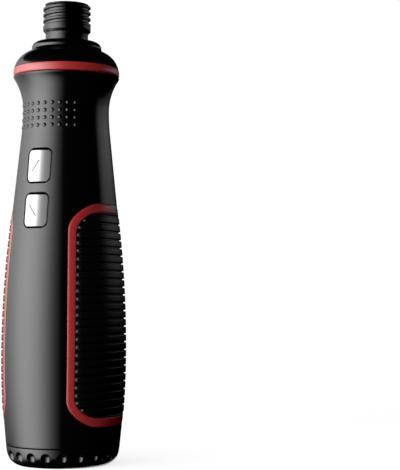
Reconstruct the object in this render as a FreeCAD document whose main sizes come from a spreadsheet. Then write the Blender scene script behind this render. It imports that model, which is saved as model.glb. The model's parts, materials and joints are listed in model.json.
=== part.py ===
import FreeCAD, Part
import math
import os

import Sketcher
from FreeCAD import Placement, Rotation, Vector

# Inline cordless screwdriver, standing on its battery cap with the nose up.
# Millimetres. Origin at the middle of the base, +Z along the spindle, buttons on the -Y side,
# grips on the +X and -X sides. The sizes grow from the inside out: cell, motor and gears set the shell.

SIZES = {
    # walls and clearances
    "wall": 2.2,  # moulded shell
    "seat_gap": 0.05,  # between pieces that are fixed in each other
    "slide_gap": 0.15,  # round the gear case and the battery tube
    "running_gap": 0.05,  # shaft in a bush, planet on its pin
    "press_gap": 0.01,  # pressed or screwed fits
    # end cap and battery, from the base up
    "cap_floor": 2.4,
    "cap_rim": 6.4,  # height of the cap's visible rim
    "cap_gap": 0.3,  # parting line between cap and shell
    "cap_foot_inset": 3.4,  # flat foot inside the shell's lower edge
    "cap_corner": 3.3,  # rounding of the cap's lower corner
    "cap_draft": 0.55,  # taper from the cap's rim down to its corner
    "scallop_radius": 2.0,
    "scallop_level": 3.5,
    "scallop_out": 0.3,  # scallop centres outside the shell's lower edge
    "spigot_height": 3.1,  # bayonet collar above the rim
    "spigot_wall": 1.25,
    "lug_width": 2.4,
    "lug_height": 1.2,
    "lug_rise": 1.7,  # lug above the rim
    "spring_height": 7.6,
    "spring_wire": 0.9,
    "spring_radius": 5.5,
    "cell_length": 65.0,
    "cell_diameter": 18.4,
    "cell_button_radius": 4.0,
    "cell_button_height": 1.0,
    "cell_gap": 0.2,
    "tube_wall": 1.0,
    "tube_end_wall": 2.0,
    "tube_hole_radius": 3.0,
    "contact_thickness": 0.5,
    "contact_radius": 6.0,
    "contact_tab": 2.5,
    "seal_radius": 13.5,
    "seal_wire": 1.24,
    # motor
    "wiring_room": 5.5,
    "bell_depth": 5.0,
    "can_length": 27.0,
    "can_radius": 10.2,
    "can_flat": 7.7,  # half the width across the flats
    "can_wall": 0.9,
    "motor_boss_radius": 3.0,
    "motor_boss_height": 1.5,
    "shaft_radius": 1.0,
    "magnet_thickness": 2.3,
    "armature_gap": 0.4,
    "stack_margin": 4.0,  # can ends to the laminations
    "shoe_thickness": 1.0,
    "arm_width": 2.4,
    "core_radius": 2.2,
    "winding_thickness": 1.2,
    "commutator_radius": 2.4,
    "terminal_length": 3.0,
    # gear train
    "plate_thickness": 2.0,
    "gear_module": 0.45,
    "gear_face": 4.5,
    "gear_end_gap": 0.4,
    "tooth_thinning": 0.04,  # taken off each tooth for backlash
    "carrier_thickness": 1.8,
    "pin_radius": 0.9,
    "case_wall": 2.04,
    "case_front_wall": 2.5,
    "washer_thickness": 0.4,
    "washer_gap": 0.2,
    "case_key_width": 3.0,
    "case_key_depth": 0.9,
    "case_key_height": 6.0,
    # spindle and nose
    "hex_size": 6.35,  # bit shank across flats
    "hex_gap": 0.1,
    "socket_depth": 14.0,
    "spindle_wall": 1.28,
    "spindle_recess": 0.8,
    "tail_flats": 6.0,
    "bit_magnet_radius": 2.6,
    "bit_magnet_height": 2.0,
    "bush_wall": 1.1,
    "bush_length": 9.0,
    "clip_width": 0.8,
    "clip_depth": 0.5,
    "nose_wall": 0.98,
    "nose_lip": 2.0,
    "nose_flange_width": 3.0,
    "nose_flange_height": 3.0,
    "nose_shoulder": 0.15,
    "nose_length": 12.6,  # nose above the head's boss
    "nose_relief": 2.7,  # plain neck below the thread
    "thread_relief": 0.87,
    "nose_chamfer": 0.7,
    "screw_radius": 0.9,
    "screw_head_radius": 1.7,
    # head
    "boss_cover": 3.9,  # head boss above the nose flange
    "boss_radius": 11.7,
    "boss_edge": 2.0,
    "boss_fillet": 1.3,  # hollow between boss and dome
    "dome_radius": 8.0,
    "head_height": 12.25,  # ring to the boss top
    "ring_height": 2.9,
    "ring_depth": 2.75,
    "ring_spigot_wall": 1.8,
    "ring_spigot_height": 5.6,
    # outside form
    "flare_length": 11.15,
    "flare_out": 3.35,
    "lip_height": 1.1,
    "lip_edge": 0.55,
    "neck_blend": 3.9,
    "belly_blend": 19.0,
    "belly_rise": 27.0,  # widest point above the cell's foot
    "base_draft": 1.6,
    "boss_room": 2.55,  # screw bosses to the shell wall
    # case screws
    "post_radius": 2.6,
    "case_screw_radius": 1.2,
    "case_screw_head": 2.2,
    "case_screw_head_height": 1.8,
    "case_screw_bite": 8.0,
    "case_screw_reach": 6.5,
    "lower_screw_rise": 13.0,  # above the grip's foot
    "upper_screw_drop": 16.5,  # below the grip's top
    # ribs inside the shells
    "rib_thickness": 1.6,
    # buttons and board
    "button_width": 9.9,
    "button_height": 10.6,
    "button_corner": 2.0,
    "button_slot": 0.35,
    "button_drop": 19.7,  # upper button below the neck
    "button_pitch": 14.7,
    "button_flange": 0.7,
    "button_flange_thickness": 0.8,
    "button_stem": 3.2,
    "board_side_gap": 0.78,  # board edge to the shell wall
    "board_thickness": 1.2,
    "board_gap": 0.9,  # board to the motor's flat
    "board_post_radius": 0.8,
    "board_post_inset": 0.8,
    "board_pin_radius": 0.45,
    "switch_size": 6.0,
    "switch_height": 1.6,
    "plunger_radius": 1.5,
    "plunger_rise": 0.6,
    "plunger_depth": 0.5,
    "button_travel": 0.5,
    # side grips
    "grip_foot": 6.7,  # grip above the parting line
    "grip_top_rise": 2.4,  # grip top above the lower button's middle
    "grip_half_width_foot": 15.7,
    "grip_half_width_top": 13.6,
    "grip_side_bow": 426.0,
    "grip_corner": 9.0,
    "grip_depth": 1.3,
    "trim_side": 1.55,
    "trim_end": 3.0,
    "trim_proud": 0.1,
    "rib_pitch": 2.6,
    "rib_groove": 0.5,
    "rib_proud": 0.45,
    "rib_floor": 0.35,
    "rib_slope": 0.55,  # height of each rib's sloping flank
    # finger pips on the neck
    "pip_radius": 0.7,
    "pip_height": 0.35,
    "pip_row_pitch": 2.47,
    "pip_row_drop": 6.25,  # lowest row below the neck's narrowest point
}

SUN_TEETH = 12
PLANET_TEETH = 15
RING_TEETH = SUN_TEETH + 2 * PLANET_TEETH
PLANETS = 3
PRESSURE_ANGLE = math.radians(20)
ADDENDUM = 0.9
RING_ADDENDUM = 0.7
DEDENDUM = 1.25
SCALLOPS = 22
CAP_TURN = 45
LUG_PLAY = 1.2
SPRING_HALF_TURNS = 8
NOSE_SCREW_ANGLES = (30, 150, 270)
SIDES = (1, -1)
PIP_COLUMNS = 10
PIP_ROWS = 4
PIP_COLUMN_STEP = 10.4
CLIP_SWEEP = 310
GRIP_SIDE_STEPS = 4
CORNER_ANGLE = math.radians(45)
PARALLEL = 0.999
MAGNET_SPAN = 80
SHOE_SPAN = 100
TUBE_RIB_SHARES = (0.45, 0.75)


class Dim:
    """A length that knows its number and the sheet expression that gives it."""

    def __init__(self, value, text):
        self.value = value
        self.text = text

    def __add__(self, other):
        other = dim(other)
        return Dim(self.value + other.value, f"({self.text} + {other.text})")

    def __sub__(self, other):
        other = dim(other)
        return Dim(self.value - other.value, f"({self.text} - {other.text})")

    def __mul__(self, other):
        other = dim(other)
        return Dim(self.value * other.value, f"({self.text} * {other.text})")

    def __truediv__(self, other):
        other = dim(other)
        return Dim(self.value / other.value, f"({self.text} / {other.text})")

    def __neg__(self):
        return Dim(-self.value, f"(-1 * {self.text})")

    def __radd__(self, other):
        return dim(other) + self

    def __rsub__(self, other):
        return dim(other) - self

    def __rmul__(self, other):
        return dim(other) * self


def dim(value):
    """Take a plain number as a Dim."""
    if isinstance(value, Dim):
        return value
    text = repr(float(value))
    return Dim(float(value), f"({text})" if value < 0 else text)


def root(value):
    return Dim(math.sqrt(value.value), f"sqrt({value.text})")


class Sheet:
    """A spreadsheet whose named cells are read back as attributes."""

    def __init__(self, name):
        self.cells = doc.addObject("Spreadsheet::Sheet", name)
        self.name = name
        self.row = 0

    def put(self, alias, content, value):
        self.row += 1
        self.cells.set(f"A{self.row}", alias)
        self.cells.set(f"B{self.row}", content)
        self.cells.setAlias(f"B{self.row}", alias)
        setattr(self, alias, Dim(value, f"{self.name}.{alias}"))

    def derive(self, **values):
        for alias, value in values.items():
            self.put(alias, "=" + value.text, value.value)


doc = FreeCAD.newDocument("screwdriver")
s = Sheet("sizes")
for size_name, size_value in SIZES.items():
    s.put(size_name, repr(size_value), size_value)
doc.recompute()
d = Sheet("derived")
finished = []


# Levels and radii that follow from the sizes

def derive_levels():
    """Stack the pieces along Z, from the base to the nose."""
    d.derive(
        shell_bottom=s.cap_rim + s.cap_gap,
        cell_bottom=s.cap_floor + s.spring_height,
    )
    d.derive(cell_top=d.cell_bottom + s.cell_length)
    d.derive(tube_end=d.cell_top + s.contact_thickness)
    d.derive(tube_top=d.tube_end + s.tube_end_wall)
    d.derive(motor_rear=d.tube_top + s.wiring_room)
    d.derive(can_rear=d.motor_rear + s.bell_depth)
    d.derive(motor_front=d.can_rear + s.can_length)
    d.derive(case_bottom=d.motor_front + s.plate_thickness)
    d.derive(first_bottom=d.case_bottom + s.gear_end_gap)
    d.derive(first_top=d.first_bottom + s.gear_face)
    d.derive(first_carrier_bottom=d.first_top + s.gear_end_gap)
    d.derive(first_carrier_top=d.first_carrier_bottom + s.carrier_thickness)
    d.derive(second_bottom=d.first_carrier_top + s.gear_end_gap)
    d.derive(second_top=d.second_bottom + s.gear_face)
    d.derive(output_bottom=d.second_top + s.gear_end_gap)
    d.derive(output_top=d.output_bottom + s.carrier_thickness)
    d.derive(case_front=d.output_top + s.washer_gap * 2 + s.washer_thickness)
    d.derive(case_top=d.case_front + s.case_front_wall)
    d.derive(flange_top=d.case_top + s.nose_flange_height)
    d.derive(boss_top=d.flange_top + s.boss_cover)
    d.derive(nose_top=d.boss_top + s.nose_length)
    d.derive(spindle_top=d.nose_top - s.spindle_recess)
    d.derive(ring_bottom=d.boss_top - s.head_height)
    d.derive(ring_top=d.ring_bottom + s.ring_height)
    d.derive(spigot_top=d.ring_bottom + s.ring_spigot_height)
    d.derive(neck_level=d.ring_bottom - s.flare_length)
    d.derive(belly_level=d.cell_bottom + s.belly_rise)
    d.derive(upper_button=d.neck_level - s.button_drop)
    d.derive(lower_button=d.upper_button - s.button_pitch)
    d.derive(grip_bottom=d.shell_bottom + s.grip_foot)
    d.derive(grip_top=d.lower_button + s.grip_top_rise)
    d.derive(bush_top=d.nose_top - s.nose_lip)
    d.derive(bush_bottom=d.bush_top - s.bush_length)
    d.derive(clip_top=d.bush_bottom - s.washer_gap)


def derive_radii():
    """Work out the radii from the cell, the gears and the bit shank outwards."""
    d.derive(
        centre_distance=s.gear_module * ((SUN_TEETH + PLANET_TEETH) / 2),
        ring_root=s.gear_module * (RING_TEETH / 2 + DEDENDUM),
        ring_tip=s.gear_module * (RING_TEETH / 2 - RING_ADDENDUM),
    )
    d.derive(
        case_radius=d.ring_root + s.case_wall,
        carrier_radius=d.ring_tip - s.gear_end_gap,
    )
    d.derive(neck_radius=d.case_radius + s.slide_gap + s.wall)
    d.derive(cell_radius=s.cell_diameter / 2)
    d.derive(tube_inner=d.cell_radius + s.cell_gap)
    d.derive(tube_radius=d.tube_inner + s.tube_wall)
    d.derive(screw_offset=d.tube_radius + s.slide_gap + s.post_radius)
    d.derive(belly_radius=d.screw_offset + s.post_radius + s.boss_room + s.wall)
    d.derive(base_radius=d.belly_radius - s.base_draft)
    d.derive(lip_radius=d.neck_radius + s.flare_out)
    d.derive(ring_spigot=d.lip_radius - s.ring_depth)
    d.derive(ring_spigot_inner=d.ring_spigot - s.ring_spigot_wall)
    d.derive(case_flange=d.ring_spigot_inner - s.slide_gap)
    d.derive(spigot_radius=d.tube_inner - s.slide_gap)
    d.derive(hex_corner=(s.hex_size + s.hex_gap) / math.sqrt(3))
    d.derive(spindle_radius=d.hex_corner + s.spindle_wall)
    d.derive(bush_inner=d.spindle_radius + s.running_gap)
    d.derive(bush_radius=d.bush_inner + s.bush_wall)
    d.derive(nose_bore=d.bush_radius + s.press_gap)
    d.derive(relief_radius=d.nose_bore + s.nose_wall)
    d.derive(thread_radius=d.relief_radius + s.thread_relief)
    d.derive(nose_flange=d.thread_radius + s.nose_flange_width)
    d.derive(nose_screw_circle=(d.nose_bore + d.nose_flange) / 2)
    d.derive(shaft_hole=s.shaft_radius + s.running_gap)
    d.derive(magnet_outer=s.can_radius - s.can_wall - s.seat_gap)
    d.derive(magnet_inner=d.magnet_outer - s.magnet_thickness)
    d.derive(armature_radius=d.magnet_inner - s.armature_gap)
    d.derive(shoe_inner=d.armature_radius - s.shoe_thickness)
    d.derive(stack_bottom=d.can_rear + s.stack_margin)
    d.derive(stack_top=d.motor_front - s.stack_margin)
    d.derive(board_back=s.can_flat + s.board_gap)
    d.derive(board_front=d.board_back + s.board_thickness)
    d.derive(switch_face=d.board_front + s.switch_height)
    d.derive(plunger_tip=d.switch_face + s.plunger_rise)
    d.derive(board_bottom=d.lower_button - s.button_height / 2)
    d.derive(board_top=d.upper_button + s.button_height / 2 + s.board_post_radius)
    d.derive(cap_foot=d.base_radius - s.cap_foot_inset)


def derive_outline():
    """Blend the belly and the neck into one straight taper, with arcs tangent to it."""
    d.derive(taper_foot=d.belly_level + s.belly_blend, taper_head=d.neck_level - s.neck_blend)
    d.derive(taper_drop=d.belly_radius - d.neck_radius, taper_rise=d.taper_head - d.taper_foot)
    d.derive(taper_length=root(d.taper_drop * d.taper_drop + d.taper_rise * d.taper_rise))
    d.derive(
        taper_cos=d.taper_rise / d.taper_length,
        taper_sin=d.taper_drop / d.taper_length,
        half_tangent=(d.taper_length - d.taper_rise) / d.taper_drop,
    )
    d.derive(upper_sweep=s.belly_blend / d.half_tangent, neck_sweep=s.neck_blend / d.half_tangent)
    d.derive(base_depth=d.belly_level - d.shell_bottom)
    d.derive(lower_sweep=(d.base_depth * d.base_depth + s.base_draft * s.base_draft) / (s.base_draft * 2))
    d.derive(
        lower_centre=d.belly_radius - d.lower_sweep,
        upper_centre=d.belly_radius - d.upper_sweep,
        neck_centre=d.neck_radius + d.neck_sweep,
        flare_rise=s.flare_length - s.lip_height,
        flare_step=s.flare_out - s.lip_edge,
    )
    d.derive(flare_sweep=(d.flare_rise * d.flare_rise + d.flare_step * d.flare_step) / (d.flare_step * 2))
    d.derive(flare_centre=d.neck_radius + d.flare_sweep)
    room = skin_radius(d.board_top, s.wall)
    d.derive(board_half=root(room * room - d.board_front * d.board_front) - s.board_side_gap)


def below_belly(level, depth):
    """Radius of the lower belly at a level, a depth under the skin."""
    drop = level - d.belly_level
    sweep = d.lower_sweep - depth
    return d.lower_centre + root(sweep * sweep - drop * drop)


def skin_radius(level, depth):
    """Radius of the body at any level up to the taper's head, a depth under the skin."""
    if level.value <= d.belly_level.value:
        return below_belly(level, depth)
    sweep = d.upper_sweep - depth
    blend_end = d.belly_level.value + sweep.value * d.taper_sin.value
    drop = level - d.belly_level
    if level.value <= blend_end:
        return d.upper_centre + root(sweep * sweep - drop * drop)
    return d.upper_centre + (sweep - d.taper_sin * drop) / d.taper_cos


def skin_path(depth, bottom):
    """Corners of the body's side from a bottom level up to the neck, a depth under the skin."""
    upper = d.upper_sweep - depth
    neck = d.neck_sweep + depth
    return [
        (below_belly(bottom, depth), bottom, d.lower_sweep - depth),
        (d.belly_radius - depth, d.belly_level, upper),
        (d.upper_centre + upper * d.taper_cos, d.belly_level + upper * d.taper_sin),
        (d.neck_centre - neck * d.taper_cos, d.neck_level - neck * d.taper_sin, -neck),
        (d.neck_radius - depth, d.neck_level),
    ]


def backwards(path):
    """The same corners walked the other way, with their bows turned over."""
    turned = []
    for index in range(len(path) - 1, -1, -1):
        corner = path[index][:2]
        bow = path[index - 1][2:] if index else ()
        turned.append(corner + tuple(-value for value in bow))
    return turned


# Sketches, bodies and booleans

def arc_between(start, end, bow):
    """An arc of a signed radius: a positive bow turns left on the way."""
    chord = end - start
    middle = (start + end) * 0.5
    left = Vector(-chord.y, chord.x, 0).normalize()
    height = math.sqrt(max(bow * bow - chord.Length ** 2 / 4, 0))
    centre = middle + left * math.copysign(height, bow)
    first, last = (start, end) if bow > 0 else (end, start)
    begin = math.atan2(first.y - centre.y, first.x - centre.x)
    finish = math.atan2(last.y - centre.y, last.x - centre.x)
    if finish < begin:
        finish += 2 * math.pi
    circle = Part.Circle(centre, Vector(0, 0, 1), abs(bow))
    return Part.ArcOfCircle(circle, begin, finish)


def coordinate(kind, geometry, point, value, axis):
    """Hold one coordinate of a sketch point: on an axis, or at a distance from the origin."""
    if value.value == 0:
        return Sketcher.Constraint("PointOnObject", geometry, point, axis), None
    return Sketcher.Constraint(kind, -1, 1, geometry, point, value.value), value.text


def draw_loop(sketch, corners):
    """Draw a closed loop of lines and arcs, with every corner and radius bound to the sheet."""
    corners = [tuple(dim(value) for value in corner) for corner in corners]
    count = len(corners)
    first = len(sketch.Geometry)
    shapes = []
    ends = []
    for index, corner in enumerate(corners):
        following = corners[(index + 1) % count]
        start = Vector(corner[0].value, corner[1].value, 0)
        end = Vector(following[0].value, following[1].value, 0)
        turns_right = len(corner) == 3 and corner[2].value < 0
        ends.append((first + index, 2, 1) if turns_right else (first + index, 1, 2))
        if len(corner) == 3:
            shapes.append(arc_between(start, end, corner[2].value))
        else:
            shapes.append(Part.LineSegment(start, end))
    rules = []
    for index, (geometry, start, end) in enumerate(ends):
        following = ends[(index + 1) % count]
        rules.append((Sketcher.Constraint("Coincident", geometry, end, following[0], following[1]), None))
    for corner, (geometry, start, end) in zip(corners, ends):
        rules.append(coordinate("DistanceX", geometry, start, corner[0], -2))
        rules.append(coordinate("DistanceY", geometry, start, corner[1], -1))
        if len(corner) == 3:
            radius = abs(corner[2].value)
            rules.append((Sketcher.Constraint("Radius", geometry, radius), f"abs({corner[2].text})"))
    sketch.addGeometry(shapes, False)
    indices = sketch.addConstraint([rule for rule, text in rules])
    for index, (rule, text) in zip(indices, rules):
        if text is not None:
            sketch.setExpression(f"Constraints[{index}]", text)


def sketch_on(body, plane, name, loops, offset=None):
    """A sketch on one of the body's origin planes, moved along the plane's normal if asked."""
    sketch = body.newObject("Sketcher::SketchObject", name)
    support = [item for item in body.Origin.OriginFeatures if item.Role == plane][0]
    sketch.AttachmentSupport = [(support, "")]
    sketch.MapMode = "FlatFace"
    if offset is not None:
        sketch.AttachmentOffset = Placement(Vector(0, 0, offset.value), Rotation())
        sketch.setExpression("AttachmentOffset.Base.z", offset.text)
    for loop in loops:
        draw_loop(sketch, loop)
    return sketch


def revolve_in(body, name, loops, angle=360, reverse=False):
    """Add a turned feature to a body, from loops in the XZ plane."""
    sketch = sketch_on(body, "XZ_Plane", name + "_profile", loops)
    turned = body.newObject("PartDesign::Revolution", name)
    turned.Profile = sketch
    turned.ReferenceAxis = (sketch, ["V_Axis"])
    turned.Angle = angle
    turned.Reversed = reverse
    return turned


def revolved(name, loop, angle=360):
    """A turned body."""
    body = doc.addObject("PartDesign::Body", name)
    revolve_in(body, name + "_turn", [loop], angle)
    return body


def right_half(name, loop):
    """A body turned through the half circle round the +X side."""
    body = doc.addObject("PartDesign::Body", name)
    revolve_in(body, name + "_turn", [loop], 180).Midplane = True
    return body


def upright_corners(shape, direction):
    """Names of the edges along a direction where two faces meet at a sharp corner."""
    names = []
    for index, edge in enumerate(shape.Edges, 1):
        if abs(edge.tangentAt(edge.FirstParameter).dot(direction)) < PARALLEL:
            continue
        first, second = shape.ancestorsOfType(edge, Part.Face)
        if first.normalAt(0, 0).getAngle(second.normalAt(0, 0)) > CORNER_ANGLE:
            names.append(f"Edge{index}")
    return names


def prism(name, plane, loop, start, length, rounding=None):
    """A body padded from a loop, with its upright edges rounded if asked."""
    body = doc.addObject("PartDesign::Body", name)
    sketch = sketch_on(body, plane, name + "_outline", [loop], start)
    pad = body.newObject("PartDesign::Pad", name + "_pad")
    pad.Profile = sketch
    pad.Length = length.value
    pad.setExpression("Length", length.text)
    if rounding is not None:
        doc.recompute()
        normal = sketch.Placement.Rotation.multVec(Vector(0, 0, 1))
        fillet = body.newObject("PartDesign::Fillet", name + "_rounding")
        fillet.Base = (pad, upright_corners(pad.Shape, normal))
        fillet.Radius = rounding.value
        fillet.setExpression("Radius", rounding.text)
    return body


def place(item, position, rotation=None):
    """Put an object at a bound position."""
    position = [dim(value) for value in position]
    item.Placement = Placement(Vector(*[value.value for value in position]), rotation or Rotation())
    for axis, value in zip("xyz", position):
        item.setExpression(f"Placement.Base.{axis}", value.text)
    return item


def bound(kind, name, position, rotation=None, **values):
    """A primitive whose sizes and place are bound to the sheet."""
    item = doc.addObject(kind, name)
    for key, value in values.items():
        value = dim(value)
        setattr(item, key, value.value)
        item.setExpression(key, value.text)
    return place(item, position, rotation)


ALONG_Y = Rotation(Vector(1, 0, 0), -90)


def cylinder(name, radius, bottom, top, x=0, y=0):
    """An upright cylinder between two levels."""
    return bound("Part::Cylinder", name, (x, y, bottom), Radius=radius, Height=dim(top) - bottom)


def sector(name, radius, bottom, top, start, angle):
    """A slice of an upright cylinder from a start angle, in degrees."""
    turn = Rotation(Vector(0, 0, 1), start)
    height = top - bottom
    return bound("Part::Cylinder", name, (0, 0, bottom), turn, Radius=radius, Height=height, Angle=angle)


def rod_along_y(name, radius, x, z, start, end):
    """A cylinder along Y between two places."""
    start = dim(start)
    return bound("Part::Cylinder", name, (x, start, z), ALONG_Y, Radius=radius, Height=end - start)


def block(name, low, high):
    """A box between two corners."""
    low = [dim(value) for value in low]
    high = [dim(value) for value in high]
    return bound(
        "Part::Box", name, low, Length=high[0] - low[0], Width=high[1] - low[1], Height=high[2] - low[2]
    )


def pie(name, ring_outer, ring_inner, bottom, top, start, angle):
    """A slice of a ring."""
    return cut(
        name,
        sector(name + "_outside", ring_outer, bottom, top, start, angle),
        cylinder(name + "_inside", ring_inner, bottom, top),
    )


def ring(name, outer, inner, bottom, top, angle=360):
    """A turned ring of rectangular section."""
    return revolved(name, [(inner, bottom), (outer, bottom), (outer, top), (inner, top)], angle)


def cut(name, base, *tools):
    item = doc.addObject("Part::Cut", name)
    item.Base = base
    item.Tool = tools[0] if len(tools) == 1 else fuse(name + "_tools", *tools)
    return item


def fuse(name, *shapes):
    item = doc.addObject("Part::MultiFuse", name)
    item.Shapes = list(shapes)
    return item


def common(name, first, second):
    item = doc.addObject("Part::Common", name)
    item.Base = first
    item.Tool = second
    return item


def mirrored(name, source):
    """The piece on the other side of the tool."""
    item = doc.addObject("Part::Mirroring", name)
    item.Source = source
    item.Normal = Vector(1, 0, 0)
    item.Base = Vector(0, 0, 0)
    return item


def group(name, *shapes):
    """Separate solids that share one node."""
    item = doc.addObject("Part::Compound", name)
    item.Links = list(shapes)
    return item


def solid_feature(name, shape):
    """A shape that no feature makes, such as a gear."""
    item = doc.addObject("Part::Feature", name)
    item.Shape = shape
    return item


def finish(name, item):
    """Keep a sub-part under its node name."""
    item.Label = name
    finished.append(item)
    return item


# Gears

def involute(angle):
    return math.tan(angle) - angle


def polar(radius, angle):
    return Vector(radius * math.cos(angle), radius * math.sin(angle), 0)


def toothed_wire(teeth, tip, foot, thickness_change):
    """The outline of a gear with a tooth on the X axis, or of a ring gear's cavity."""
    module = s.gear_module.value
    pitch = module * teeth / 2
    base = pitch * math.cos(PRESSURE_ANGLE)
    half = math.pi / (2 * teeth) + thickness_change / (2 * pitch) + involute(PRESSURE_ANGLE)

    def flank(radius):
        return half - involute(math.acos(min(base / radius, 1)))

    start = max(base, foot)
    middle = (start + tip) / 2
    step = 2 * math.pi / teeth
    edges = []
    for index in range(teeth):
        turn = index * step
        low = [polar(radius, turn - flank(radius)) for radius in (start, middle, tip)]
        high = [polar(radius, turn + flank(radius)) for radius in (tip, middle, start)]
        foot_low = polar(foot, turn - flank(start))
        foot_high = polar(foot, turn + flank(start))
        next_foot = polar(foot, turn + step - flank(start))
        if foot < base:
            edges.append(Part.LineSegment(foot_low, low[0]).toShape())
        edges.append(Part.Arc(*low).toShape())
        edges.append(Part.Arc(low[2], polar(tip, turn), high[0]).toShape())
        edges.append(Part.Arc(*high).toShape())
        if foot < base:
            edges.append(Part.LineSegment(high[2], foot_high).toShape())
        edges.append(Part.Arc(foot_high, polar(foot, turn + step / 2), next_foot).toShape())
    return Part.Wire(edges)


def gear_shape(teeth, bottom, top, bore=None):
    """An external gear between two levels, bored if asked."""
    module = s.gear_module.value
    tip = module * (teeth / 2 + ADDENDUM)
    foot = module * (teeth / 2 - DEDENDUM)
    wires = [toothed_wire(teeth, tip, foot, -s.tooth_thinning.value)]
    if bore is not None:
        wires.append(Part.Wire(Part.Circle(Vector(), Vector(0, 0, 1), bore.value).toShape()))
    face = Part.Face(wires, "Part::FaceMakerBullseye")
    face.translate(Vector(0, 0, bottom.value))
    return face.extrude(Vector(0, 0, top.value - bottom.value))


def planet_spots():
    """Angle and place of each planet round the axis."""
    for index in range(PLANETS):
        angle = 360 * index / PLANETS
        x = d.centre_distance * math.cos(math.radians(angle))
        y = d.centre_distance * math.sin(math.radians(angle))
        yield index + 1, angle, x, y


def planets(stage, bottom, top):
    """Three planets of one stage, each with a tooth pointing straight at the ring."""
    for number, angle, x, y in planet_spots():
        shape = gear_shape(PLANET_TEETH, bottom, top, s.pin_radius + s.running_gap)
        gear = solid_feature(f"{stage}_planet_{number}", shape)
        place(gear, (x, y, 0), Rotation(Vector(0, 0, 1), angle))
        finish(f"{stage}_planet_{number}", gear)


def pins(name, bottom, top, extra=0):
    """The pins that one stage's planets turn on, or the holes that take them."""
    return [
        cylinder(f"{name}_{number}", s.pin_radius + extra, bottom, top, x, y)
        for number, angle, x, y in planet_spots()
    ]


def gear_train():
    """Motor plate, gear case and the two planetary stages."""
    sun = solid_feature(
        "sun_gear", gear_shape(SUN_TEETH, d.first_bottom, d.first_top, s.shaft_radius + s.press_gap)
    )
    finish("sun_gear", sun)
    planets("first", d.first_bottom, d.first_top)
    plate = cylinder("first_carrier_plate", d.carrier_radius, d.first_carrier_bottom, d.first_carrier_top)
    second_sun = solid_feature("second_sun", gear_shape(SUN_TEETH, d.first_carrier_top, d.second_top))
    holes = pins("first_pin_hole", d.first_carrier_bottom, d.first_carrier_top, s.press_gap)
    finish("first_carrier", fuse("first_carrier", cut("first_carrier_bored", plate, *holes), second_sun))
    pin_set = pins("first_pin", d.first_bottom, d.first_carrier_top)
    finish("first_planet_pins", group("first_planet_pins", *pin_set))

    planets("second", d.second_bottom, d.second_top)
    disc = cylinder("output_disc", d.carrier_radius, d.output_bottom, d.output_top)
    holes = pins("second_pin_hole", d.output_bottom, d.output_top, s.press_gap)
    drive = hexagon("output_drive", s.tail_flats + s.press_gap * 2, d.output_bottom, d.output_top)
    finish("output_carrier", cut("output_carrier", disc, drive, *holes))
    pin_set = pins("second_pin", d.second_bottom, d.output_top)
    finish("second_planet_pins", group("second_planet_pins", *pin_set))
    washer_bottom = d.output_top + s.washer_gap
    washer_hole = d.spindle_radius + s.washer_gap
    finish("thrust_washer", ring(
        "thrust_washer", d.carrier_radius, washer_hole, washer_bottom, washer_bottom + s.washer_thickness
    ))


def hexagon(name, flats, bottom, top):
    """An upright hexagonal prism of a width across flats."""
    corner = flats / math.sqrt(3)
    item = bound("Part::Prism", name, (0, 0, bottom), Circumradius=corner, Height=top - bottom)
    item.Polygon = 6
    return item


def countersunk(name, x, y, head_face, tip, gap):
    """A countersunk screw with its head flush in a face, or the hole that takes it."""
    up = 1 if tip.value > head_face.value else -1
    depth = s.screw_head_radius - s.screw_radius
    shank_start = head_face + depth * up
    low, high = (shank_start, tip) if up > 0 else (tip, shank_start)
    shank = cylinder(name + "_shank", s.screw_radius + gap, low, high, x, y)
    wide = s.screw_head_radius + gap
    narrow = s.screw_radius + gap
    first, last = (wide, narrow) if up > 0 else (narrow, wide)
    cone_low = head_face if up > 0 else shank_start
    head = bound("Part::Cone", name + "_head", (x, y, cone_low), Radius1=first, Radius2=last, Height=depth)
    return fuse(name, shank, head)


def nose_screw_set(prefix, tip, gap):
    """The screws that hold the nose on the gear case, or their holes."""
    spots = []
    for number, angle in enumerate(NOSE_SCREW_ANGLES, 1):
        x = d.nose_screw_circle * math.cos(math.radians(angle))
        y = d.nose_screw_circle * math.sin(math.radians(angle))
        spots.append(countersunk(f"{prefix}_{number}", x, y, d.case_front, tip, gap))
    return spots


def gear_case():
    """Ring gear and front wall in one piece, keyed to the shells at the parting plane."""
    barrel = cylinder("case_barrel", d.case_radius, d.case_bottom, d.case_top)
    collar = cylinder("case_collar", d.case_flange, d.case_front, d.case_top)
    reach = d.case_radius + s.case_key_depth
    key = block(
        "case_key", (-reach, s.case_key_width / -2, d.case_bottom),
        (reach, s.case_key_width / 2, d.case_bottom + s.case_key_height),
    )
    height = d.case_front.value - d.case_bottom.value
    wire = toothed_wire(RING_TEETH, d.ring_root.value, d.ring_tip.value, s.tooth_thinning.value)
    wire.translate(Vector(0, 0, d.case_bottom.value))
    cavity = solid_feature("case_teeth", Part.Face(wire).extrude(Vector(0, 0, height)))
    bore = cylinder("case_bore", d.bush_radius + s.press_gap, d.case_front, d.case_top)
    holes = nose_screw_set("case_screw_hole", d.case_top, s.seat_gap)
    finish("gear_case", cut("gear_case", fuse("case_outside", barrel, collar, key), cavity, bore, *holes))
    tip = d.flange_top - s.screw_radius
    finish("nose_screws", group("nose_screws", *nose_screw_set("nose_screw", tip, 0)))
    finish("case_bush", ring("case_bush", d.bush_radius, d.bush_inner, d.case_front, d.case_top))


# Motor

def can_loop(inset):
    """Outline of the flat-sided motor can."""
    round_side = s.can_radius - inset
    flat = s.can_flat - inset
    edge = root(round_side * round_side - flat * flat)
    return [(edge, -flat, round_side), (edge, flat), (-edge, flat, round_side), (-edge, -flat)]


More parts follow.
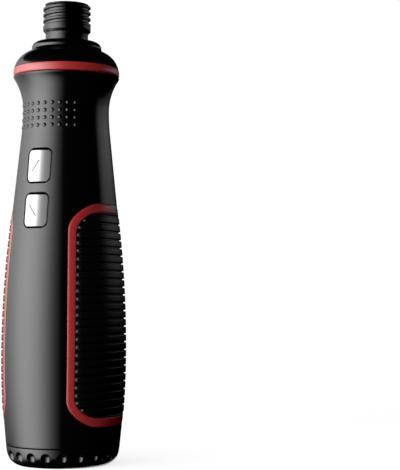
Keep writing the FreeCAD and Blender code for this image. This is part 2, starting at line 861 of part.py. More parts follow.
def motor_screw_holes(prefix, gap):
    offset = (s.motor_boss_radius + s.can_radius) / 2
    tip = d.motor_front - s.can_wall
    return [
        countersunk(f"{prefix}_{number}", offset * side, 0, d.case_bottom, tip, gap)
        for number, side in enumerate(SIDES, 1)
    ]


def motor():
    """The brushed motor, its plate and the screws between them."""
    can_outside = prism("can_outside", "XY_Plane", can_loop(dim(0)), d.can_rear, s.can_length)
    hollow_depth = s.can_length - s.can_wall
    can_inside = prism("can_inside", "XY_Plane", can_loop(s.can_wall), d.can_rear, hollow_depth)
    boss_top = d.motor_front + s.motor_boss_height
    boss = cylinder("can_boss", s.motor_boss_radius, d.motor_front - s.can_wall, boss_top)
    hole = cylinder("can_hole", d.shaft_hole, d.motor_front - s.can_wall, boss_top)
    holes = motor_screw_holes("can_screw_hole", s.seat_gap)
    hollow_can = cut("can_hollow", can_outside, can_inside)
    finish("motor_can", cut("motor_can", fuse("can_with_boss", hollow_can, boss), hole, *holes))

    plate = cylinder("plate_disc", d.case_radius, d.motor_front, d.case_bottom)
    plate_hole = cylinder("plate_hole", s.motor_boss_radius + s.seat_gap, d.motor_front, d.case_bottom)
    holes = motor_screw_holes("plate_screw_hole", s.seat_gap)
    finish("motor_plate", cut("motor_plate", plate, plate_hole, *holes))
    finish("motor_screws", group("motor_screws", *motor_screw_holes("motor_screw", 0)))

    bell_floor = s.bell_depth / 4
    bell_outside = prism("bell_outside", "XY_Plane", can_loop(dim(0)), d.motor_rear, s.bell_depth)
    room = d.motor_rear + bell_floor
    bell_room = s.bell_depth - bell_floor
    bell_inside = prism("bell_inside", "XY_Plane", can_loop(s.can_wall * 2), room, bell_room)
    bearing = cylinder("bell_bearing", s.core_radius, d.motor_rear - bell_floor, d.motor_rear)
    shaft_start = d.motor_rear - bell_floor / 2
    bell_hole = cylinder("bell_hole", d.shaft_hole, shaft_start - s.seat_gap, room)
    hollow_bell = cut("bell_hollow", bell_outside, bell_inside)
    bell = fuse("bell_with_bearing", hollow_bell, bearing)
    finish("motor_end_bell", cut("motor_end_bell", bell, bell_hole))
    finish("motor_shaft", cylinder("motor_shaft", s.shaft_radius, shaft_start, d.first_top))

    commutator_low = room + s.seat_gap
    finish("motor_commutator", ring(
        "motor_commutator", s.commutator_radius, s.shaft_radius + s.press_gap, commutator_low, d.can_rear
    ))
    brush_half = s.shaft_radius
    brush_low = commutator_low + s.seat_gap
    brushes = []
    for side in SIDES:
        inner = s.commutator_radius + s.running_gap
        outer = s.can_flat - s.can_wall * 2
        low_x, high_x = (inner, outer) if side > 0 else (-outer, -inner)
        brush_high = brush_low + brush_half * 2
        brushes.append(block(
            f"brush_{len(brushes)}", (low_x, -brush_half, brush_low), (high_x, brush_half, brush_high)
        ))
    finish("motor_brushes", group("motor_brushes", *brushes))

    terminals = []
    for side in SIDES:
        place_x = (s.can_flat - s.can_wall) * side
        terminals.append(block(
            f"terminal_{len(terminals)}",
            (place_x - s.can_wall / 4, -s.shaft_radius, d.motor_rear - s.terminal_length),
            (place_x + s.can_wall / 4, s.shaft_radius, d.motor_rear),
        ))
    finish("motor_terminals", group("motor_terminals", *terminals))


def rotor_core():
    """Magnets, laminations and windings, three poles on the motor shaft."""
    magnets = [
        pie(f"magnet_{index}", d.magnet_outer, d.magnet_inner, d.stack_bottom - s.can_wall,
            d.stack_top + s.can_wall, start - MAGNET_SPAN / 2, MAGNET_SPAN)
        for index, start in enumerate((0, 180))
    ]
    finish("motor_magnets", group("motor_magnets", *magnets))
    pieces = [cylinder("core_hub", s.core_radius, d.stack_bottom, d.stack_top)]
    coils = []
    half_arm = s.arm_width / 2
    coil_in = s.core_radius + s.seat_gap * 4
    coil_out = d.shoe_inner - s.winding_thickness / 2
    for index in range(PLANETS):
        angle = 360 * index / PLANETS + 90
        turn = Rotation(Vector(0, 0, 1), angle)
        arm_end = d.armature_radius - s.shoe_thickness / 2
        arm = block(f"arm_{index}", (0, -half_arm, d.stack_bottom), (arm_end, half_arm, d.stack_top))
        arm.Placement = Placement(Vector(), turn) * arm.Placement
        arm.setExpression("Placement.Base.x", (half_arm * math.sin(math.radians(angle))).text)
        arm.setExpression("Placement.Base.y", (half_arm * -math.cos(math.radians(angle))).text)
        shoe = pie(f"shoe_{index}", d.armature_radius, d.shoe_inner, d.stack_bottom, d.stack_top,
                   angle - SHOE_SPAN / 2, SHOE_SPAN)
        pieces += [arm, shoe]
        coils.append(winding(index, turn, coil_in, coil_out, half_arm))
    bore = cylinder("core_bore", s.shaft_radius + s.press_gap, d.stack_bottom, d.stack_top)
    finish("motor_armature", cut("motor_armature", fuse("core_pieces", *pieces), bore))
    finish("motor_windings", group("motor_windings", *coils))


def winding(index, turn, inner, outer, half_arm):
    """One closed coil round an armature arm."""
    half_out = half_arm + s.winding_thickness
    half_in = half_arm + s.seat_gap
    low = d.stack_bottom - s.winding_thickness
    high = d.stack_top + s.winding_thickness
    outside = block(f"coil_outside_{index}", (inner, -half_out, low), (outer, half_out, high))
    inside = block(
        f"coil_inside_{index}", (inner, -half_in, d.stack_bottom - s.seat_gap),
        (outer, half_in, d.stack_top + s.seat_gap),
    )
    coil = cut(f"coil_{index}", outside, inside)
    coil.Placement = Placement(Vector(), turn)
    return coil


# Battery, tube and end cap

def battery():
    """Cell, its contacts and the tube that holds it."""
    shoulder = d.cell_top - s.cell_button_height
    edge = s.cell_button_height / 2
    finish("battery_cell", revolved("battery_cell", [
        (0, d.cell_bottom),
        (d.cell_radius - edge, d.cell_bottom, edge),
        (d.cell_radius, d.cell_bottom + edge),
        (d.cell_radius, shoulder - edge, edge),
        (d.cell_radius - edge, shoulder),
        (s.cell_button_radius, shoulder),
        (s.cell_button_radius, d.cell_top),
        (0, d.cell_top),
    ]))
    disc = cylinder("contact_disc", s.contact_radius, d.cell_top, d.tube_end)
    half = s.contact_thickness / 2
    tab = block(
        "contact_tab_strip", (-s.shaft_radius, -half, d.cell_top),
        (s.shaft_radius, half, d.tube_top + s.contact_tab),
    )
    finish("positive_contact", fuse("positive_contact", disc, tab))

    tube_foot = d.shell_bottom + s.cap_gap
    tube = revolved("tube_wall", [
        (d.tube_inner, tube_foot),
        (d.tube_radius, tube_foot),
        (d.tube_radius, d.tube_top),
        (s.tube_hole_radius, d.tube_top),
        (s.tube_hole_radius, d.tube_end),
        (d.tube_inner, d.tube_end),
    ])
    lug_low = s.cap_rim + s.lug_rise
    lug_half = math.degrees(math.atan2(s.lug_width.value / 2, d.spigot_radius.value)) + LUG_PLAY
    slot_low = lug_low - s.slide_gap
    slot_high = lug_low + s.lug_height + s.slide_gap
    reach = d.tube_radius + s.tube_wall
    slots = []
    for index, turn in enumerate((0, 180)):
        sweep = CAP_TURN + 2 * lug_half
        slots.append(sector(f"lock_slot_{index}", reach, slot_low, slot_high, turn - lug_half, sweep))
        slots.append(sector(
            f"entry_slot_{index}", reach, tube_foot, slot_high, turn + CAP_TURN - lug_half, 2 * lug_half
        ))
    finish("battery_tube", cut("battery_tube", tube, *slots))


def coil_spring():
    """The contact spring: half-turn arcs that climb in turn, with the wire piped along them."""
    radius = s.spring_radius.value
    wire = s.spring_wire.value / 2
    bottom = s.cap_floor.value + wire
    climb = (s.spring_height.value - 2 * wire - s.seat_gap.value) / SPRING_HALF_TURNS
    spread = math.hypot(radius, climb / 2)
    edges = []
    for index in range(SPRING_HALF_TURNS):
        side = 1 if index % 2 == 0 else -1
        level = bottom + index * climb
        start = Vector(radius * side, 0, level)
        middle = Vector(0, spread * side, level + climb / 2)
        end = Vector(-radius * side, 0, level + climb)
        edges.append(Part.Arc(start, middle, end).toShape())
    path = Part.Wire(edges)
    section = Part.Wire(Part.Circle(Vector(radius, 0, bottom), Vector(0, 1, 0), wire).toShape())
    return path.makePipeShell([section], True, False)


def end_cap():
    """Twist-off cap with a scalloped corner, two bayonet lugs, a seal and the battery spring."""
    rim_radius = below_belly(d.shell_bottom, dim(0))
    corner_level = s.cap_corner
    corner_radius = rim_radius - s.cap_draft
    groove_floor = s.cap_rim - s.seal_wire + s.seat_gap * 4
    groove_half = s.seal_wire / 2 + s.seat_gap
    collar_top = s.cap_rim + s.spigot_height
    body = revolved("end_cap_body", [
        (0, 0),
        (d.cap_foot, 0, s.cap_corner + s.base_draft / 4),
        (corner_radius, corner_level),
        (rim_radius, s.cap_rim),
        (s.seal_radius + groove_half, s.cap_rim),
        (s.seal_radius + groove_half, groove_floor),
        (s.seal_radius - groove_half, groove_floor),
        (s.seal_radius - groove_half, s.cap_rim),
        (d.spigot_radius, s.cap_rim),
        (d.spigot_radius, collar_top),
        (d.spigot_radius - s.spigot_wall, collar_top),
        (d.spigot_radius - s.spigot_wall, s.cap_floor),
        (0, s.cap_floor),
    ])
    lug_reach = d.tube_radius - s.slide_gap
    lug_low = s.cap_rim + s.lug_rise
    lug_high = lug_low + s.lug_height
    inside = d.spigot_radius - s.spigot_wall / 2
    right = block("lug_right", (inside, s.lug_width / -2, lug_low), (lug_reach, s.lug_width / 2, lug_high))
    left = block("lug_left", (-lug_reach, s.lug_width / -2, lug_low), (-inside, s.lug_width / 2, lug_high))
    scallops = [scallop(index) for index in range(SCALLOPS)]
    finish("end_cap", cut("end_cap", fuse("cap_with_lugs", body, right, left), *scallops))
    wire = s.seal_wire / 2
    seal_spot = (0, 0, groove_floor + wire)
    seal = bound("Part::Torus", "cap_seal", seal_spot, Radius1=s.seal_radius, Radius2=wire)
    finish("cap_seal", seal)
    finish("cell_spring", solid_feature("cell_spring", coil_spring()))


def scallop(index):
    """One ball cutter for the cap's gripping scallops; the first is on the front side."""
    angle = math.radians(360 * index / SCALLOPS - 90)
    distance = d.base_radius + s.scallop_out
    return bound(
        "Part::Sphere", f"scallop_{index}",
        (distance * math.cos(angle), distance * math.sin(angle), s.scallop_level), Radius=s.scallop_radius,
    )


# Spindle and nose

def spindle():
    """Output spindle with its hex socket, magnet and retaining clip."""
    clip_low = d.clip_top - s.clip_width
    groove = d.spindle_radius - s.clip_depth
    mouth = s.clip_depth / 2
    body = revolved("spindle_turned", [
        (0, d.output_top),
        (d.spindle_radius, d.output_top),
        (d.spindle_radius, clip_low),
        (groove, clip_low),
        (groove, d.clip_top),
        (d.spindle_radius, d.clip_top),
        (d.spindle_radius, d.spindle_top - mouth),
        (d.spindle_radius - mouth, d.spindle_top),
        (0, d.spindle_top),
    ])
    tail = hexagon("spindle_tail", s.tail_flats, d.output_bottom, d.output_top)
    socket_floor = d.spindle_top - s.socket_depth
    socket = hexagon("hex_socket", s.hex_size + s.hex_gap, socket_floor, d.spindle_top)
    lead = bound(
        "Part::Cone", "socket_lead", (0, 0, d.spindle_top - mouth),
        Radius1=d.hex_corner - mouth, Radius2=d.hex_corner + mouth, Height=mouth,
    )
    pocket = cylinder(
        "magnet_pocket", s.bit_magnet_radius + s.press_gap, socket_floor - s.bit_magnet_height, socket_floor
    )
    finish("spindle", cut("spindle", fuse("spindle_blank", body, tail), socket, lead, pocket))
    finish("bit_magnet", cylinder(
        "bit_magnet", s.bit_magnet_radius, socket_floor - s.bit_magnet_height, socket_floor
    ))
    clip_reach = d.nose_bore - s.slide_gap
    clip_bottom = clip_low + s.press_gap
    clip_face = d.clip_top - s.press_gap
    finish("spindle_clip", ring(
        "spindle_clip", clip_reach, groove + s.press_gap, clip_bottom, clip_face, CLIP_SWEEP
    ))
    finish("nose_bush", ring("nose_bush", d.bush_radius, d.bush_inner, d.bush_bottom, d.bush_top))


def nose():
    """Metal nose: flange on the gear case, plain neck and the threaded end for attachments."""
    shoulder = d.thread_radius + s.nose_shoulder
    neck_low = d.boss_top + s.nose_shoulder
    neck_high = d.boss_top + s.nose_relief
    mouth = d.spindle_radius + s.bush_wall / 2
    body = revolved("nose_turned", [
        (d.nose_bore, d.case_top),
        (d.nose_flange, d.case_top),
        (d.nose_flange, d.flange_top),
        (shoulder, d.flange_top),
        (shoulder, neck_low),
        (d.relief_radius, neck_low),
        (d.relief_radius, neck_high),
        (d.thread_radius, neck_high + s.thread_relief),
        (d.thread_radius, d.nose_top - s.nose_chamfer),
        (d.thread_radius - s.nose_chamfer, d.nose_top),
        (mouth, d.nose_top),
        (mouth, d.bush_top),
        (d.nose_bore, d.bush_top),
    ])
    holes = []
    for number, angle in enumerate(NOSE_SCREW_ANGLES, 1):
        x = d.nose_screw_circle * math.cos(math.radians(angle))
        y = d.nose_screw_circle * math.sin(math.radians(angle))
        hole_top = d.flange_top - s.screw_radius + s.seat_gap
        hole_radius = s.screw_radius + s.press_gap
        holes.append(cylinder(f"nose_hole_{number}", hole_radius, d.case_top, hole_top, x, y))
    finish("nose_bushing", cut("nose_bushing", body, *holes))


def head():
    """Head cap with its ogee dome and boss, and the red ring under it."""
    dome_centre = d.lip_radius - s.dome_radius
    dome_level = d.ring_bottom + s.ring_height / 2
    top_rise = d.ring_top - dome_level
    ring_top_radius = dome_centre + root(s.dome_radius * s.dome_radius - top_rise * top_rise)
    inner = d.ring_spigot + s.seat_gap
    finish("head_ring", revolved("head_ring", [
        (inner, d.ring_bottom),
        (d.lip_radius, d.ring_bottom),
        (d.lip_radius, dome_level, s.dome_radius),
        (ring_top_radius, d.ring_top),
        (inner, d.ring_top),
    ]))
    meet_gap = s.boss_radius + s.boss_fillet - dome_centre
    meet_reach = s.dome_radius + s.boss_fillet
    meet_rise = root(meet_reach * meet_reach - meet_gap * meet_gap)
    meet_level = dome_level + meet_rise
    meet_x = dome_centre + meet_gap * (s.dome_radius / meet_reach)
    meet_z = dome_level + meet_rise * (s.dome_radius / meet_reach)
    cavity = d.nose_flange + s.seat_gap * 4
    hole = d.thread_radius + s.nose_shoulder + s.seat_gap
    ceiling = d.flange_top + s.seat_gap
    finish("nose_cap", revolved("nose_cap", [
        (inner, d.ring_top),
        (ring_top_radius, d.ring_top, s.dome_radius),
        (meet_x, meet_z, -s.boss_fillet),
        (s.boss_radius, meet_level),
        (s.boss_radius, d.boss_top - s.boss_edge, s.boss_edge),
        (s.boss_radius - s.boss_edge, d.boss_top),
        (hole, d.boss_top),
        (hole, ceiling),
        (cavity, ceiling),
        (cavity, d.spigot_top + s.seat_gap),
        (inner, d.spigot_top + s.seat_gap),
    ]))


# Housing

def shell_loop():
    """Section of the housing wall, from the parting line at the cap to the ring's spigot."""
    floor_top = d.shell_bottom + s.wall
    inner_flare = d.flare_sweep + s.wall
    side_step = d.flare_centre - d.ring_spigot_inner
    flare_end = d.neck_level + root(inner_flare * inner_flare - side_step * side_step)
    outside = skin_path(dim(0), d.shell_bottom)
    outside[-1] = outside[-1] + (-d.flare_sweep,)
    outside += [
        (d.lip_radius - s.lip_edge, d.ring_bottom - s.lip_height),
        (d.lip_radius, d.ring_bottom - s.lip_edge),
        (d.lip_radius, d.ring_bottom),
        (d.ring_spigot, d.ring_bottom),
        (d.ring_spigot, d.spigot_top),
        (d.ring_spigot_inner, d.spigot_top),
        (d.ring_spigot_inner, flare_end, inner_flare),
    ]
    inside = backwards(skin_path(s.wall, floor_top))
    seat = d.tube_radius + s.slide_gap
    return outside + inside + [(seat, floor_top), (seat, d.shell_bottom)]


def rib_loop(bottom, inner):
    """Section of a ring rib that stands in from the wall."""
    top = bottom + s.rib_thickness
    bite = s.wall / 2
    return [
        (inner, bottom),
        (skin_radius(bottom, bite), bottom),
        (skin_radius(top, bite), top),
        (inner, top),
    ]


def half_shell(name, reverse, ribs):
    """One half of the housing with its inner ribs."""
    body = doc.addObject("PartDesign::Body", name)
    revolve_in(body, name + "_wall", [shell_loop()], 180, reverse)
    revolve_in(body, name + "_ribs", ribs, 180, reverse)
    return body


def screw_levels():
    return (d.grip_bottom + s.lower_screw_rise, d.grip_top - s.upper_screw_drop)


def inside_solid():
    """The space within the housing, up to the pocket floor, that limits posts and bosses."""
    path = skin_path(s.grip_depth + s.seat_gap * 4, d.shell_bottom)
    return revolved("inside_space", [(0, d.shell_bottom)] + path + [(0, d.neck_level)])


def grip_loop(side_inset, end_inset):
    """Outline of a grip in side view, drawn in by an inset."""
    foot = d.grip_bottom + end_inset
    top = d.grip_top - end_inset
    wide = s.grip_half_width_foot - side_inset
    narrow = s.grip_half_width_top - side_inset
    swell = (top - foot) * (top - foot) / (s.grip_side_bow * 8)
    right = []
    for step in range(GRIP_SIDE_STEPS + 1):
        share = step / GRIP_SIDE_STEPS
        half = wide + (narrow - wide) * share + swell * (4 * share * (1 - share))
        right.append((half, foot + (top - foot) * share))
    return right + [(-half, level) for half, level in reversed(right)]


def grip_prism(name, side_inset, end_inset):
    """A grip outline pushed out to the right, with round corners."""
    corner = s.grip_corner - (side_inset + end_inset) / 2
    return prism(name, "YZ_Plane", grip_loop(side_inset, end_inset), dim(0), d.belly_radius * 2, corner)


def layer_loop(outer, inner):
    """Section of a layer of the body between two depths under the skin."""
    return skin_path(outer, d.shell_bottom) + backwards(skin_path(inner, d.shell_bottom))


def rib_path():
    """The ribbed face of a grip pad: straight groove floors and crests with sloping flanks between."""
    foot = d.grip_bottom + s.trim_end
    top = d.grip_top - s.trim_end
    count = int((top.value - foot.value) / s.rib_pitch.value)
    first_groove = (foot + top - s.rib_pitch * count) / 2
    floors = [skin_radius(first_groove + s.rib_pitch * index, s.rib_floor) for index in range(count + 1)]
    path = [(floors[0], d.grip_bottom)]
    for index in range(count):
        low = first_groove + s.rib_pitch * index + s.rib_groove / 2
        high = low + s.rib_pitch - s.rib_groove
        crest = skin_radius((low + high) / 2, -s.rib_proud)
        path += [
            (floors[index], low),
            (crest, low + s.rib_slope),
            (crest, high - s.rib_slope),
            (floors[index + 1], high),
        ]
    path.append((floors[count], d.grip_top))
    return path


def grips():
    """Ribbed rubber pads and their red trims; returns their pockets and outline."""
    gap = s.seat_gap
    floor = s.grip_depth - gap
    outline = grip_prism("grip_outline", dim(0), dim(0))
    pocket_layer = right_half("pocket_layer", layer_loop(-s.wall, s.grip_depth))
    pocket = common("pocket_right", pocket_layer, outline)
    pockets = [pocket, mirrored("pocket_left", pocket)]

    trim_layer = right_half("trim_layer", layer_loop(-s.trim_proud, floor))
    trim_block = common("trim_block", trim_layer, grip_prism("trim_outline", gap, gap))
    trim = cut("trim_right", trim_block, grip_prism("trim_window", s.trim_side, s.trim_end))
    finish("grip_trim_right", trim)
    finish("grip_trim_left", mirrored("trim_left", trim))

    back = [
        (skin_radius(d.grip_top, floor), d.grip_top),
        (d.upper_centre + (d.upper_sweep - floor) * d.taper_cos,
         d.belly_level + (d.upper_sweep - floor) * d.taper_sin, floor - d.upper_sweep),
        (d.belly_radius - floor, d.belly_level, floor - d.lower_sweep),
        (skin_radius(d.grip_bottom, floor), d.grip_bottom),
    ]
    ribbed = right_half("ribbed_layer", rib_path() + back)
    pad = common("pad_right", ribbed, grip_prism("pad_outline", s.trim_side + gap, s.trim_end + gap))
    finish("grip_pad_right", pad)
    finish("grip_pad_left", mirrored("pad_left", pad))
    return pockets, outline


def button_prism(name, level, grow, corner):
    """An upright rounded oblong pushed out to the front, for a button or its opening."""
    half_width = s.button_width / 2 + grow
    half_height = s.button_height / 2 + grow
    loop = [
        (-half_width, level - half_height), (half_width, level - half_height),
        (half_width, level + half_height), (-half_width, level + half_height),
    ]
    return prism(name, "XZ_Plane", loop, d.board_front, d.belly_radius, corner)


def buttons():
    """Two push buttons with inner flanges, their plungers and switches; returns the openings."""
    flange_face = s.wall + s.slide_gap
    flange_back = flange_face + s.button_flange_thickness
    key_layer = revolved("button_layer", layer_loop(dim(0), flange_back))
    flange_layer = revolved("flange_layer", layer_loop(flange_face, flange_back))
    openings = []
    for name, level in (("forward", d.upper_button), ("reverse", d.lower_button)):
        key_prism = button_prism(f"{name}_key_prism", level, dim(0), s.button_corner)
        key = common(f"{name}_key", key_layer, key_prism)
        rim = s.button_slot + s.button_flange
        rim_prism = button_prism(f"{name}_rim", level, rim, s.button_corner)
        flange = common(f"{name}_flange", flange_layer, rim_prism)
        half = s.button_stem / 2
        stem_start = -skin_radius(level, flange_face)
        stem = block(
            f"{name}_stem", (-half, stem_start, level - half), (half, -d.plunger_tip, level + half)
        )
        finish(f"{name}_button", fuse(f"{name}_button", key, flange, stem))
        corner = s.button_corner + s.button_slot
        openings.append(button_prism(f"{name}_opening", level, s.button_slot, corner))
        switch(name, level)
    return openings


def switch(name, level):
    """A low push switch on the board, and the plunger that a button presses."""
    half = s.switch_size / 2
    body = block(
        f"{name}_switch_block", (-half, -d.switch_face, level - half), (half, -d.board_front, level + half)
    )
    rest_depth = d.switch_face - s.plunger_depth
    floor = rest_depth - s.button_travel - s.seat_gap
    well = rod_along_y(f"{name}_well", s.plunger_radius + s.running_gap, 0, level, -d.switch_face, -floor)
    finish(f"{name}_switch", cut(f"{name}_switch", body, well))
    plunger = rod_along_y(f"{name}_plunger", s.plunger_radius, 0, level, -d.plunger_tip, -rest_depth)
    finish(f"{name}_plunger", plunger)


def board_spots():
    """Place of each post that carries the control board."""
    x = d.board_half - s.board_post_inset
    for side in SIDES:
        for level in (d.board_bottom + s.board_post_radius * 2, d.board_top - s.board_post_radius * 2):
            yield x * side, level


def control_board():
    """The circuit board in front of the motor, pinned to posts of the front shell."""
    half = d.board_half
    front, back = -d.board_front, -d.board_back
    panel = block("board_panel", (-half, front, d.board_bottom), (half, back, d.board_top))
    hole = s.board_pin_radius + s.seat_gap
    holes = [
        rod_along_y(f"board_hole_{index}", hole, x, level, front, back)
        for index, (x, level) in enumerate(board_spots())
    ]
    finish("control_board", cut("control_board", panel, *holes))


def board_posts(inside):
    """Posts with pins, from the front shell to the board."""
    posts = []
    for index, (x, level) in enumerate(board_spots()):
        front = -d.board_front
        rod = rod_along_y(f"board_post_{index}", s.board_post_radius, x, level, -d.belly_radius, front)
        posts.append(common(f"board_post_in_{index}", rod, inside))
        pin = s.board_pin_radius
        posts.append(rod_along_y(f"board_pin_{index}", pin, x, level, front - pin, -d.board_back))
    return posts


def pips():
    """Low round pips on the front of the neck, in rows and columns."""
    sphere_radius = (s.pip_radius * s.pip_radius + s.pip_height * s.pip_height) / (s.pip_height * 2)
    dots = []
    for row in range(PIP_ROWS):
        level = d.neck_level - s.pip_row_drop + s.pip_row_pitch * row
        rise = level - d.neck_level
        skin = d.neck_centre - root(d.neck_sweep * d.neck_sweep - rise * rise)
        if rise.value > 0:
            skin = d.flare_centre - root(d.flare_sweep * d.flare_sweep - rise * rise)
        reach = skin + s.pip_height - sphere_radius
        for column in range(PIP_COLUMNS):
            angle = math.radians((column - (PIP_COLUMNS - 1) / 2) * PIP_COLUMN_STEP - 90)
            spot = (reach * math.cos(angle), reach * math.sin(angle), level)
            dots.append(bound("Part::Sphere", f"pip_{row}_{column}", spot, Radius=sphere_radius))
    return dots


def case_screws(inside, outline):
    """Screws along Y that close the housing under the grips, with their posts and holes."""
    reach = d.belly_radius
    x = d.screw_offset
    bite = -s.case_screw_bite
    seat = s.case_screw_reach
    front_posts = []
    rear_posts = []
    front_holes = []
    rear_holes = []
    screws = []
    for number, level in enumerate(screw_levels(), 1):
        front = rod_along_y(f"front_post_{number}", s.post_radius, x, level, -reach, 0)
        front_posts.append(common(f"front_post_in_{number}", front, inside))
        rear = rod_along_y(f"rear_post_{number}", s.post_radius, x, level, 0, reach)
        rear_posts.append(common(f"rear_post_in_{number}", rear, inside))
        thread = s.case_screw_radius + s.press_gap
        front_holes.append(rod_along_y(f"screw_bite_{number}", thread, x, level, bite - s.seat_gap, 0))
        clear = s.case_screw_radius + s.slide_gap
        rear_holes.append(rod_along_y(f"screw_way_{number}", clear, x, level, 0, seat))
        sink = rod_along_y(f"screw_sink_{number}", s.case_screw_head + s.slide_gap, x, level, seat, reach)
        rear_holes.append(common(f"screw_sink_in_{number}", sink, outline))
        shank = rod_along_y(f"screw_shank_{number}", s.case_screw_radius, x, level, bite, seat)
        cap_top = seat + s.case_screw_head_height
        cap = rod_along_y(f"screw_cap_{number}", s.case_screw_head, x, level, seat, cap_top)
        screws.append(fuse(f"case_screw_{number}", shank, cap))
    finish("case_screws", group("case_screws", *both_sides(screws)))
    return [both_sides(shapes) for shapes in (front_posts, rear_posts, front_holes, rear_holes)]


def both_sides(shapes):
    """The shapes of the right side and their mirror images."""
    return shapes + [mirrored(shape.Name + "_left", shape) for shape in shapes]


def housing():
    """Front and rear shells, the case screws, and everything cut into or standing on the shells."""
    tube_room = d.tube_radius + s.slide_gap
    tube_ribs = [
        rib_loop(d.cell_bottom + s.cell_length * share, tube_room) for share in TUBE_RIB_SHARES
    ]
    plate_rib = rib_loop(d.motor_front - s.rib_thickness, s.can_radius + s.slide_gap)
    motor_rib = rib_loop(d.can_rear + s.rib_thickness, s.can_radius + s.slide_gap)
    stop_rib = rib_loop(d.tube_top + s.seat_gap, d.tube_inner)
    inside = inside_solid()
    front = half_shell("front_half", True, tube_ribs + [plate_rib])
    rear = half_shell("rear_half", False, tube_ribs + [plate_rib, motor_rib, stop_rib])

    pockets, outline = grips()
    openings = buttons()
    control_board()
    front_posts, rear_posts, front_holes, rear_holes = case_screws(inside, outline)
    key_reach = d.case_radius + s.case_key_depth + s.seat_gap
    key_half = s.case_key_width / 2 + s.seat_gap
    slot = block(
        "case_key_slot", (-key_reach, -key_half, d.case_bottom - s.seat_gap),
        (key_reach, key_half, d.case_bottom + s.case_key_height + s.seat_gap),
    )
    front_body = fuse("front_built", front, *front_posts, *board_posts(inside), *pips())
    finish("front_shell", cut("front_shell", front_body, slot, *pockets, *openings, *front_holes))
    rear_body = fuse("rear_built", rear, *rear_posts)
    finish("rear_shell", cut("rear_shell", rear_body, slot, *pockets, *rear_holes))


def check_and_write():
    """Recompute, make sure that every object is sound, and write each sub-part."""
    doc.recompute()
    failed = [item.Name for item in doc.Objects if "Invalid" in item.State or "Error" in item.State]
    for item in finished:
        if item.Shape.isNull() or not item.Shape.isValid() or not item.Shape.Solids:
            failed.append(item.Label)
    if failed:
        raise RuntimeError("objects that did not build: " + ", ".join(failed))
    os.makedirs("parts", exist_ok=True)
    for item in finished:
        item.Shape.exportStep(f"parts/{item.Label}.step")


derive_levels()
derive_radii()
derive_outline()
doc.recompute()
end_cap()
battery()
motor()
rotor_core()
gear_case()
gear_train()
spindle()
nose()
head()
housing()
check_and_write()
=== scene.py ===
"""Looks of the cordless screwdriver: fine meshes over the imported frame, materials, light and camera.

Sizes and levels are in millimetres, and angles and bearings in degrees.
"""
from __future__ import annotations

import json
import logging
import math
from collections.abc import Callable, Sequence
from dataclasses import dataclass
from enum import Enum
from functools import reduce

import bpy
import numpy as np
from bpy.types import Camera, Light, Material, Node, NodeSocket, NodeTree, Object, World
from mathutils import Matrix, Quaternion, Vector


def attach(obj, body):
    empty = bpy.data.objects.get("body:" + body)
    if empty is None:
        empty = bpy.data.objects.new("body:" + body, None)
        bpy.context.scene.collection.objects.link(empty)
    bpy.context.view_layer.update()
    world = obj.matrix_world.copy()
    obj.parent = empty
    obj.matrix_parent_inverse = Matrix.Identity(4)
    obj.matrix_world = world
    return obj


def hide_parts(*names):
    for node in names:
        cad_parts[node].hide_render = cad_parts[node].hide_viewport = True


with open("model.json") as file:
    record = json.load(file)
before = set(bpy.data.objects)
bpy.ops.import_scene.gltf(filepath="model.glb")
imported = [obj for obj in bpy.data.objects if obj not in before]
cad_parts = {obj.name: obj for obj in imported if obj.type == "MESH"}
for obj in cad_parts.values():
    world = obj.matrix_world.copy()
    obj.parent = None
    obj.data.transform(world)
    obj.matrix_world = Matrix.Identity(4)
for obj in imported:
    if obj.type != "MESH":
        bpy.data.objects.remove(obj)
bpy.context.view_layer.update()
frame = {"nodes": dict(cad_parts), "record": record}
log = logging.getLogger("screwdriver")

MM = 0.001
SMOOTH_ANGLE = math.radians(32)
FULL_TURN = 360.0
CUT_HEIGHT = 3.0  # of a cutter over the body's skin
FORWARD_LEVEL = 98.3  # of the button's middle
REVERSE_LEVEL = 83.6
BALL_SEGMENTS = 28
BALL_RINGS = 18
WHITE = (1.0, 1.0, 1.0, 1.0)
GEOMETRY = "NodeSocketGeometry"
NUMBER = "NodeSocketFloat"
PAINT = "NodeSocketMaterial"
Point = tuple[float, float]
Ramp = Sequence[Point]
Feed = Node | NodeSocket | float | Sequence[float]


class Facing(Enum):
    """Side of the tool that a patch lies on, as a turn from the +X side in degrees."""

    RIGHT = 0.0
    LEFT = 180.0
    FRONT = -90.0


class Half(Enum):
    """Half of the housing, as the angle in degrees where its sweep starts."""

    FRONT = 180.0
    REAR = 0.0


class Slant(Enum):
    """Way that a button's mark leans, as its sideways move on the way up."""

    RIGHT = 1
    LEFT = -1


# Node trees and finishes

